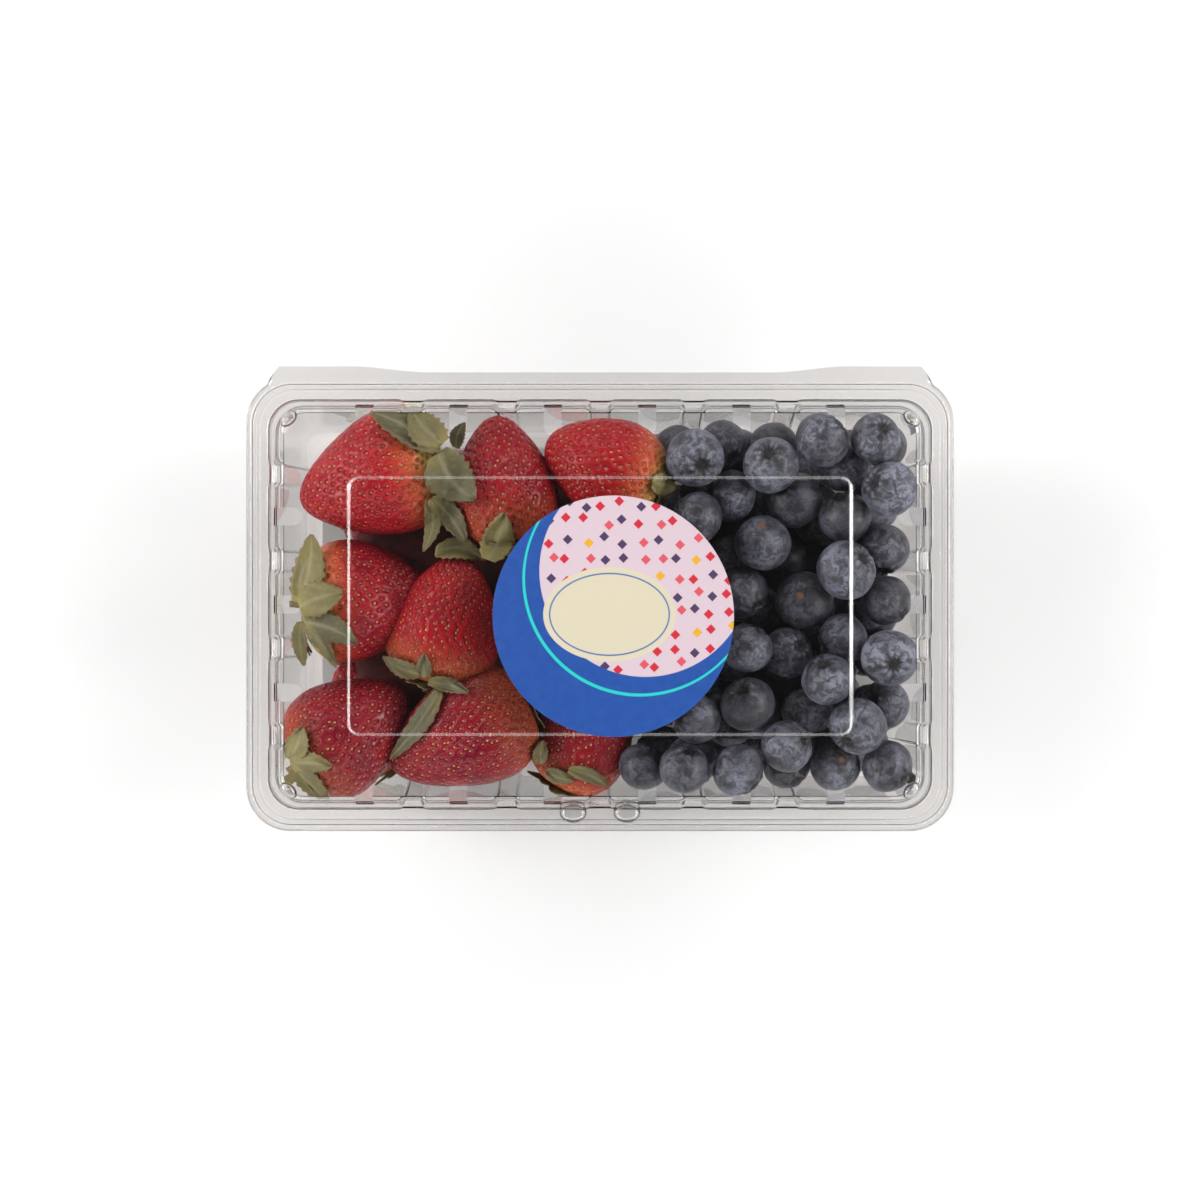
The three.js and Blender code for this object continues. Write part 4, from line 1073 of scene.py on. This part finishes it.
def stem_surface(berry, seed):
    """A short cut stem at the crown: a tube that bends as it leaves."""
    u, v, w = frame_along(berry[1])
    middle = np.array([berry[0][0], berry[0][1] + TRAY_Y, berry[0][2]])
    t = np.linspace(0, 1, 6)[:, None]
    angle = np.linspace(0, 2 * math.pi, 8, endpoint=False)[None, :]
    centre = middle - w * (berry[2] / 2 - STEM["sunk"])
    bend = u * STEM["bend"] * (scatter(seed) - 0.5)
    line = centre + (-w * STEM["length"] * t + bend * t ** 2)
    r = STEM["radius"] * (1 + 0.5 * (1 - t) ** 2)
    ring = (r * np.cos(angle))[..., None] * u + (r * np.sin(angle))[..., None] * v
    ends = {"tone": ((0.8, 0.8), 0.8 + 0 * angle * t), "vein": ((0, 0), 0 * angle * t),
            "dry": ((0, 0.8), 0.5 * t + 0 * angle)}
    return closed(line[0], line[:, None] + ring, line[-1], ends)


# ---- Blueberries --------------------------------------------------------------------------


def room(z):
    """How far from the tray's middle its walls leave room at a height."""
    inset = mix(ROOM["low"], ROOM["high"], min(1, z / LEDGE))
    return RIM_X / 2 - inset, RIM_Y / 2 - inset


def rest_below(placed, x, y, r, highest, lowest):
    """The height that lets a berry clear those already placed above it."""
    z = highest
    for other in placed:
        flat = math.hypot(x - other[0], y - other[1])
        reach = r + other[3]
        if flat < reach:
            z = min(z, other[2] - math.sqrt(reach * reach - flat * flat))
    return max(z, lowest)


def strawberry_balls():
    """Three balls inside each strawberry, which the blueberries keep clear of."""
    balls = []
    for at, tip, length, width, _, _ in STRAWBERRIES:
        w = unit(tip)
        for along, share in ((-0.17, 0.5), (0.05, 0.45), (0.28, 0.29)):
            balls.append([*(at[i] + w[i] * along * length for i in range(3)), share * width])
    return balls


def settle(balls, homes, loose):
    """Pushes overlapping balls apart and back between the walls, round after round. A ball
    with a home is drawn back towards it in plan, and the balls after the loose ones are
    fixed."""
    for _ in range(SETTLING["rounds"]):
        for i, a in enumerate(balls[:loose]):
            for j in range(i + 1, len(balls)):
                b = balls[j]
                reach = a[3] + b[3]
                dx = b[0] - a[0]
                if abs(dx) >= reach:
                    continue
                dy, dz = b[1] - a[1], b[2] - a[2]
                apart = math.sqrt(dx * dx + dy * dy + dz * dz)
                if apart >= reach:
                    continue
                push = (reach - apart) / apart
                share = 0.5 if j < loose else 1.0
                for k, d in enumerate((dx, dy, dz)):
                    a[k] -= d * push * share
                    b[k] += d * push * (1 - share)
        for ball, home in zip(balls, homes):
            x, y = room(ball[2])
            if home:
                ball[0] = mix(ball[0], home[0], SETTLING["pull"])
                ball[1] = mix(ball[1], home[1], SETTLING["pull"])
            else:
                ball[2] -= SETTLING["sink"]
            r = ball[3]
            ball[0] = min(ball[0], x - r)
            ball[1] = max(r - y, min(ball[1], y - r))
            ball[2] = max(ROOM["floor"] + r, min(ball[2], ROOM["top"] - r))


def place_blueberries():
    """The blueberries' middles and radii: those that show first, then three layers below, and
    last the ones that fill what can be seen between them."""
    placed = []
    top = BLUEBERRY["top"]
    for x, y, diameter in TOP_BLUEBERRIES:
        r = diameter / 2
        limit_x, limit_y = room(top)
        bx, by = min(x, limit_x - r), max(r - limit_y, min(y, limit_y - r))
        placed.append([bx, by, rest_below(placed, bx, by, r, top, top - SECOND_LAYER), r])
    above = [list(ball) for ball in placed]
    homes = [(ball[0], ball[1]) for ball in placed]
    n = 0
    for layer in range(3):
        z = ROOM["floor"] + BLUEBERRY["mean"] / 2 + layer * BLUEBERRY["layer"]
        right, back = room(z)
        rows = int((2 * back) / (BLUEBERRY["pitch"] * ROW_SHARE))
        for row in range(rows):
            y = mix(-back, back, (row + 0.5) / rows)
            shift = BLUEBERRY["pitch"] / 2 if (row + layer) % 2 else 0
            x = right - BLUEBERRY["mean"] / 2 - shift
            while x > BLUEBERRY["left"]:
                n += 1
                r = (BLUEBERRY["mean"] + BLUEBERRY["spread"] * (float(scatter(n)) - 0.5)) / 2
                if all(math.dist((x, y, z), other[:3]) > CLEAR["lower"] * (r + other[3])
                       for other in above):
                    placed.append([x, y + float(scatter(n + DRAW["y"])) - 0.5,
                                   z + float(scatter(n + DRAW["z"])) - 0.5, r])
                    homes.append(None)
                x -= BLUEBERRY["pitch"]
    settle(placed + strawberry_balls(), homes, len(placed))
    return placed + fillers(placed)


def fillers(placed):
    """Blueberries for the gaps between those that show: at each place of a fine grid, as high
    as it can lie without touching any, if that is not too deep and nothing lies there yet."""
    found, fixed = [], strawberry_balls()
    places = [(x, y) for y in range(FILL["front"], FILL["back"], FILL["step"])
              for x in range(FILL["left"], FILL["right"], FILL["step"])]
    for n, (x, y) in enumerate(places):
        r = FILL["radius"] + FILL["spread"] * float(scatter(n + DRAW["filler"]))
        z = rest_below([ball for ball in placed + found + fixed if ball[2] > FILL["low"]],
                       x, y, r, FILL["high"], FILL["low"])
        right, back = room(z)
        if z <= FILL["low"] or x > right - r or abs(y) > back - r:
            continue
        if all(math.dist((x, y, z), ball[:3]) > CLEAR["filler"] * (r + ball[3])
               for ball in placed + found + fixed):
            found.append([x, y, z, r])
    return found


def blueberry_surface(ball, n, upper):
    """A blueberry: a ball a little flat along its axis and softly dented, with a dish at its
    crown inside a raised rim of five points that are slit apart, or a small scar in place of
    the crown."""
    rows, round_ = UPPER_SPHERE if upper else LOWER_SPHERE
    scar = upper and n in SCAR_WAYS
    way = (SCAR_WAYS if scar else CROWN_WAYS).get(n) if upper else None
    if way is None:
        turn = 2 * math.pi * scatter(n + DRAW["crown_turn"])
        lean = 1.2 * scatter(n + DRAW["crown_lean"]) - 0.3
        way = (math.cos(turn) * math.cos(lean), math.sin(turn) * math.cos(lean), math.sin(lean))
    u, v, w = frame_along(way)
    t = np.linspace(0, 1, rows + 2)[1:-1]
    phi = math.pi * mix(t, t ** 1.7, 0.75)[:, None]
    theta = np.linspace(0, 2 * math.pi, round_, endpoint=False)[None, :]
    first = 6 * scatter(n)
    point = 0.5 + 0.5 * np.cos(5 * theta + first)
    slit = ((1 - point) ** 5 + 0.7 * point ** 12) * smooth_step(0.80, 0.50, phi)
    edge = 0.30 + 0.07 * point
    dish = smooth_step(1.0, 0.6, phi / edge)
    rim = np.exp(-(((phi - edge - 0.08) / 0.09) ** 2)) * (0.35 + 0.65 * point)
    deep, proud = (0.03, 0.0) if scar else (0.14, 0.05)
    starts = [6 * scatter(n + draw) for draw in DRAW["dents"]]
    dents = np.cos(2 * theta + starts[0]) * np.sin(phi)
    dents = dents + np.cos(3 * phi + 2 * theta + starts[1]) * np.sin(phi) ** 2
    dents = dents + 0.7 * np.cos(5 * phi - 3 * theta + starts[2]) * np.sin(phi) ** 2
    r = ball[3] * (ROUNDNESS - deep * dish + proud * rim - 0.6 * proud * slit + 0.011 * dents)
    middle = np.array([ball[0], ball[1] + TRAY_Y, ball[2]])
    points = (middle + (r * np.sin(phi) * np.cos(theta))[..., None] * u
              + (r * np.sin(phi) * np.sin(theta))[..., None] * v
              + (r * np.cos(phi) * FLATNESS)[..., None] * w)
    bloom = BLOOM.get(n) if upper else None
    if bloom is None:
        bloom = 0.45 + 0.55 * float(scatter(n + DRAW["bloom"]))
    spot = smooth_step(0.17, 0.07, phi) + 0 * theta
    # dark crown: partly its own colour, partly painted shade in the dish and the slits between its
    # points
    dark = np.clip(dish + 0.9 * slit, 0, 1)
    marks = {
        "crown": ((0, 0), 0.3 * dark) if scar else ((1, 0), dark),
        "scar": ((1, 0), spot) if scar else ((0, 0), 0 * dark),
        "bloom": ((bloom, bloom), np.full(points.shape[:2], bloom)),
    }
    tall = w * ball[3] * FLATNESS
    return closed(middle + tall * (ROUNDNESS - deep), points, middle - tall * ROUNDNESS, marks)


# ---- Cores, floor, camera and lights ------------------------------------------------------


def core_surface(x, y, z):
    """A rounded block between two corners: a superellipsoid whose powers are a half."""
    phi = np.linspace(0, math.pi, 26)[1:-1, None]
    theta = np.linspace(0, 2 * math.pi, 48, endpoint=False)[None, :]

    def power(v):
        return np.sign(v) * np.abs(v) ** 0.5

    half = [(b - a) / 2 for a, b in (x, y, z)]
    middle = [(a + b) / 2 for a, b in (x, y, z)]
    ring = power(np.sin(phi))
    points = np.stack([
        middle[0] + half[0] * ring * power(np.cos(theta)),
        middle[1] + TRAY_Y + half[1] * ring * power(np.sin(theta)),
        middle[2] + half[2] * power(np.cos(phi)) + 0 * theta], -1)
    ends = [(middle[0], middle[1] + TRAY_Y, middle[2] + way * half[2]) for way in (1, -1)]
    return closed(ends[0], points, ends[1])


def label_surface():
    """A thin disc, flat above and below."""
    centre = (LABEL_LOW + LABEL_HIGH) / 2
    radius = (LABEL_HIGH[0] - LABEL_LOW[0]) / 2
    angle = np.linspace(0, 2 * math.pi, LABEL_SIDES, endpoint=False)
    low, high = LABEL_LOW[2], LABEL_HIGH[2]
    rows = ((radius - LABEL_EDGE, high), (radius, high - 0.02), (radius, low),
            (radius - LABEL_EDGE, low))
    rings = np.array([np.stack([centre[0] + r * np.cos(angle), centre[1] + r * np.sin(angle),
                                np.full(LABEL_SIDES, z)], -1) for r, z in rows])
    return closed((*centre[:2], high), rings, (*centre[:2], low))


def make_floor():
    bpy.ops.mesh.primitive_plane_add(size=6)
    floor = bpy.context.object
    floor.name = "floor"
    floor.data.materials.append(pale_floor())
    floor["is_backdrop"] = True


def make_camera():
    """The camera looks straight down from a metre above the rim."""
    data = bpy.data.cameras.new("camera")
    data.lens, data.sensor_width = CAMERA["lens"], CAMERA["sensor"]
    camera = bpy.data.objects.new("camera", data)
    camera.location = CAMERA["place"]
    bpy.context.scene.collection.objects.link(camera)
    bpy.context.scene.camera = camera


def add_light(name, place, size, power):
    """A square light that faces the punnet."""
    data = bpy.data.lights.new(name, "AREA")
    data.shape, data.size, data.energy = "SQUARE", size, power
    light = bpy.data.objects.new(name, data)
    light.location = place
    back = np.array(place, float) - (0, 0, 0.03)
    light.rotation_mode = "QUATERNION"
    light.rotation_quaternion = Vector(-back).to_track_quat("-Z", "Y")
    bpy.context.scene.collection.objects.link(light)


def make_lights():
    """A soft box at each side, and a pale sky that is dark overhead and bright in a ring a
    little above the horizon, as in a light tent, brightest to the left and right."""
    for name, (place, size, power) in SOFT_BOXES.items():
        add_light(name, place, size, power)
    world = bpy.data.worlds.new("world")
    world.use_nodes = True
    tree = world.node_tree
    way = add(tree, "SeparateXYZ")
    fill(tree, way.inputs[0], add(tree, "TexCoord").outputs["Generated"])
    off = sum_of(tree, sum_of(tree, way.outputs["Z"], RING["height"], "SUBTRACT"), 0, "ABSOLUTE")
    ring = ranged(tree, off, 0.02, RING["reach"], RING["strength"], 0.0)
    across = sum_of(tree, way.outputs["X"], way.outputs["X"], "MULTIPLY")
    ring = sum_of(tree, ring, ranged(tree, across, 0.0, 0.8, 0.75, 1.2), "MULTIPLY")
    sky = ranged(tree, way.outputs["Z"], 0.60, 0.90, 0.17, 0.05)
    fill(tree, tree.nodes["Background"].inputs["Strength"], sum_of(tree, ring, sky))
    tree.nodes["Background"].inputs["Color"].default_value = (1, 1, 1, 1)
    bpy.context.scene.world = world
    bpy.context.scene.view_settings.view_transform = "Standard"
    cycles = bpy.context.scene.cycles
    cycles.max_bounces = cycles.transmission_bounces = cycles.transparent_max_bounces = BOUNCES
    cycles.diffuse_bounces = cycles.glossy_bounces = 1


# ---- The punnet ---------------------------------------------------------------------------

MOTTLE = mottle_group()


def make_box():
    plastic = clear_plastic()
    s = stations()
    section = rounded(LID_SECTION, ROUNDING["lid"])
    first = int(np.argmax(section[:, 2] >= VENT_LOW))
    lid = without_vents(lid_surface(s), s, first, len(section) + 1)
    lugs = [dome((sx * LUG["x"], TRAY_Y + sy * LUG["y"], PANEL_TOP - SUNK), LUG["size"],
                 -sx * sy * math.pi / 4) for sx in (-1, 1) for sy in (-1, 1)]
    front = TRAY_Y - RIM_Y / 2 + LATCH["inset"]
    latch = [dome((side * LATCH["x"], front, LID_RIM - SUNK), LATCH["size"], 0)
             for side in (-1, 1)]
    whole_lid = joined([lid, *lugs, *latch])
    lid_piece = new_piece("lid_shell", whole_lid, plastic, "lid")
    thickened(lid_piece, WALL, -1, SHARP)
    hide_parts("lid")
    tray_piece = new_piece("tray_shell", tray_surface(s), plastic, "tray")
    thickened(tray_piece, WALL, -1, SHARP)
    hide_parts("tray")
    label = new_piece("round_label", label_surface(), label_paper(), "lid")
    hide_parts("label")


def make_strawberries():
    numbered = [(berry, n + 1) for n, berry in enumerate(STRAWBERRIES)]
    skin = strawberry_flesh()
    flesh = [strawberry_flesh_surface(berry, n) for berry, n in numbered]
    left, right, below = joined(flesh[:5]), joined(flesh[5:10]), joined(flesh[10:])
    seeds = joined([seeds_surface(berry, n) for berry, n in numbered])
    pieces = [
        new_piece("strawberries_above", left, skin, "tray"),
        new_piece("strawberries_beside", right, skin, "tray"),
        new_piece("strawberries_below", below, skin, "tray"),
        new_piece("strawberry_seeds", seeds, strawberry_seed(), "tray"),
    ]
    ground = HeightMap(np.concatenate([left.points, right.points, below.points]))
    leaves = [leaf_surface(leaf, ground, n) for n, leaf in enumerate(LEAVES)]
    for berry, n in numbered:
        share = SEPALS["shown" if berry[4] else "hidden"] * max(SEPALS["least"], berry[4])
        for k in range(SEPALS["count"]):
            turn = 2 * math.pi * (k + 0.5 * float(scatter(n + k))) / SEPALS["count"]
            reach = share * (0.8 + 0.4 * float(scatter(SEPALS["count"] * n + k)))
            leaves.append(sepal_surface(berry, n, turn, reach, SEPALS["half_width"]))
    green = strawberry_leaf()
    pieces.append(new_piece("strawberry_leaves", joined(leaves), green, "tray"))
    thickened(pieces[-1], 0.25, 0)
    stems = joined([stem_surface(berry, n) for berry, n in numbered])
    pieces.append(new_piece("strawberry_stems", stems, green, "tray"))
    core = core_surface(*STRAWBERRY_CORE)
    # painted shade: the strawberry heap's core is coloured as the dark shade between the berries
    dark = shaded_heap_core("strawberry_core_painted_shade", (0.10, 0.01, 0.01))
    pieces.append(new_piece("strawberry_core_painted_shade", core, dark, "tray"))
    for piece in pieces:
        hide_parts("strawberries")


def make_blueberries():
    placed = place_blueberries()
    count = len(TOP_BLUEBERRIES)
    surfaces = [blueberry_surface(ball, n, n < count) for n, ball in enumerate(placed)]
    skin = blueberry_skin()
    skins = new_piece("blueberries_above", joined(surfaces[:count]), skin, "tray")
    below = new_piece("blueberries_below", joined(surfaces[count:]), skin, "tray")
    core = core_surface(*BLUEBERRY_CORE)
    # painted shade: the blueberry heap's core is coloured as the dark shade between the berries
    dark = shaded_heap_core("blueberry_core_painted_shade", (0.01, 0.01, 0.014))
    inside = new_piece("blueberry_core_painted_shade", core, dark, "tray")
    for piece in (skins, below, inside):
        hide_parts("blueberries")


make_camera()
make_lights()
make_floor()
make_box()
make_strawberries()
make_blueberries()
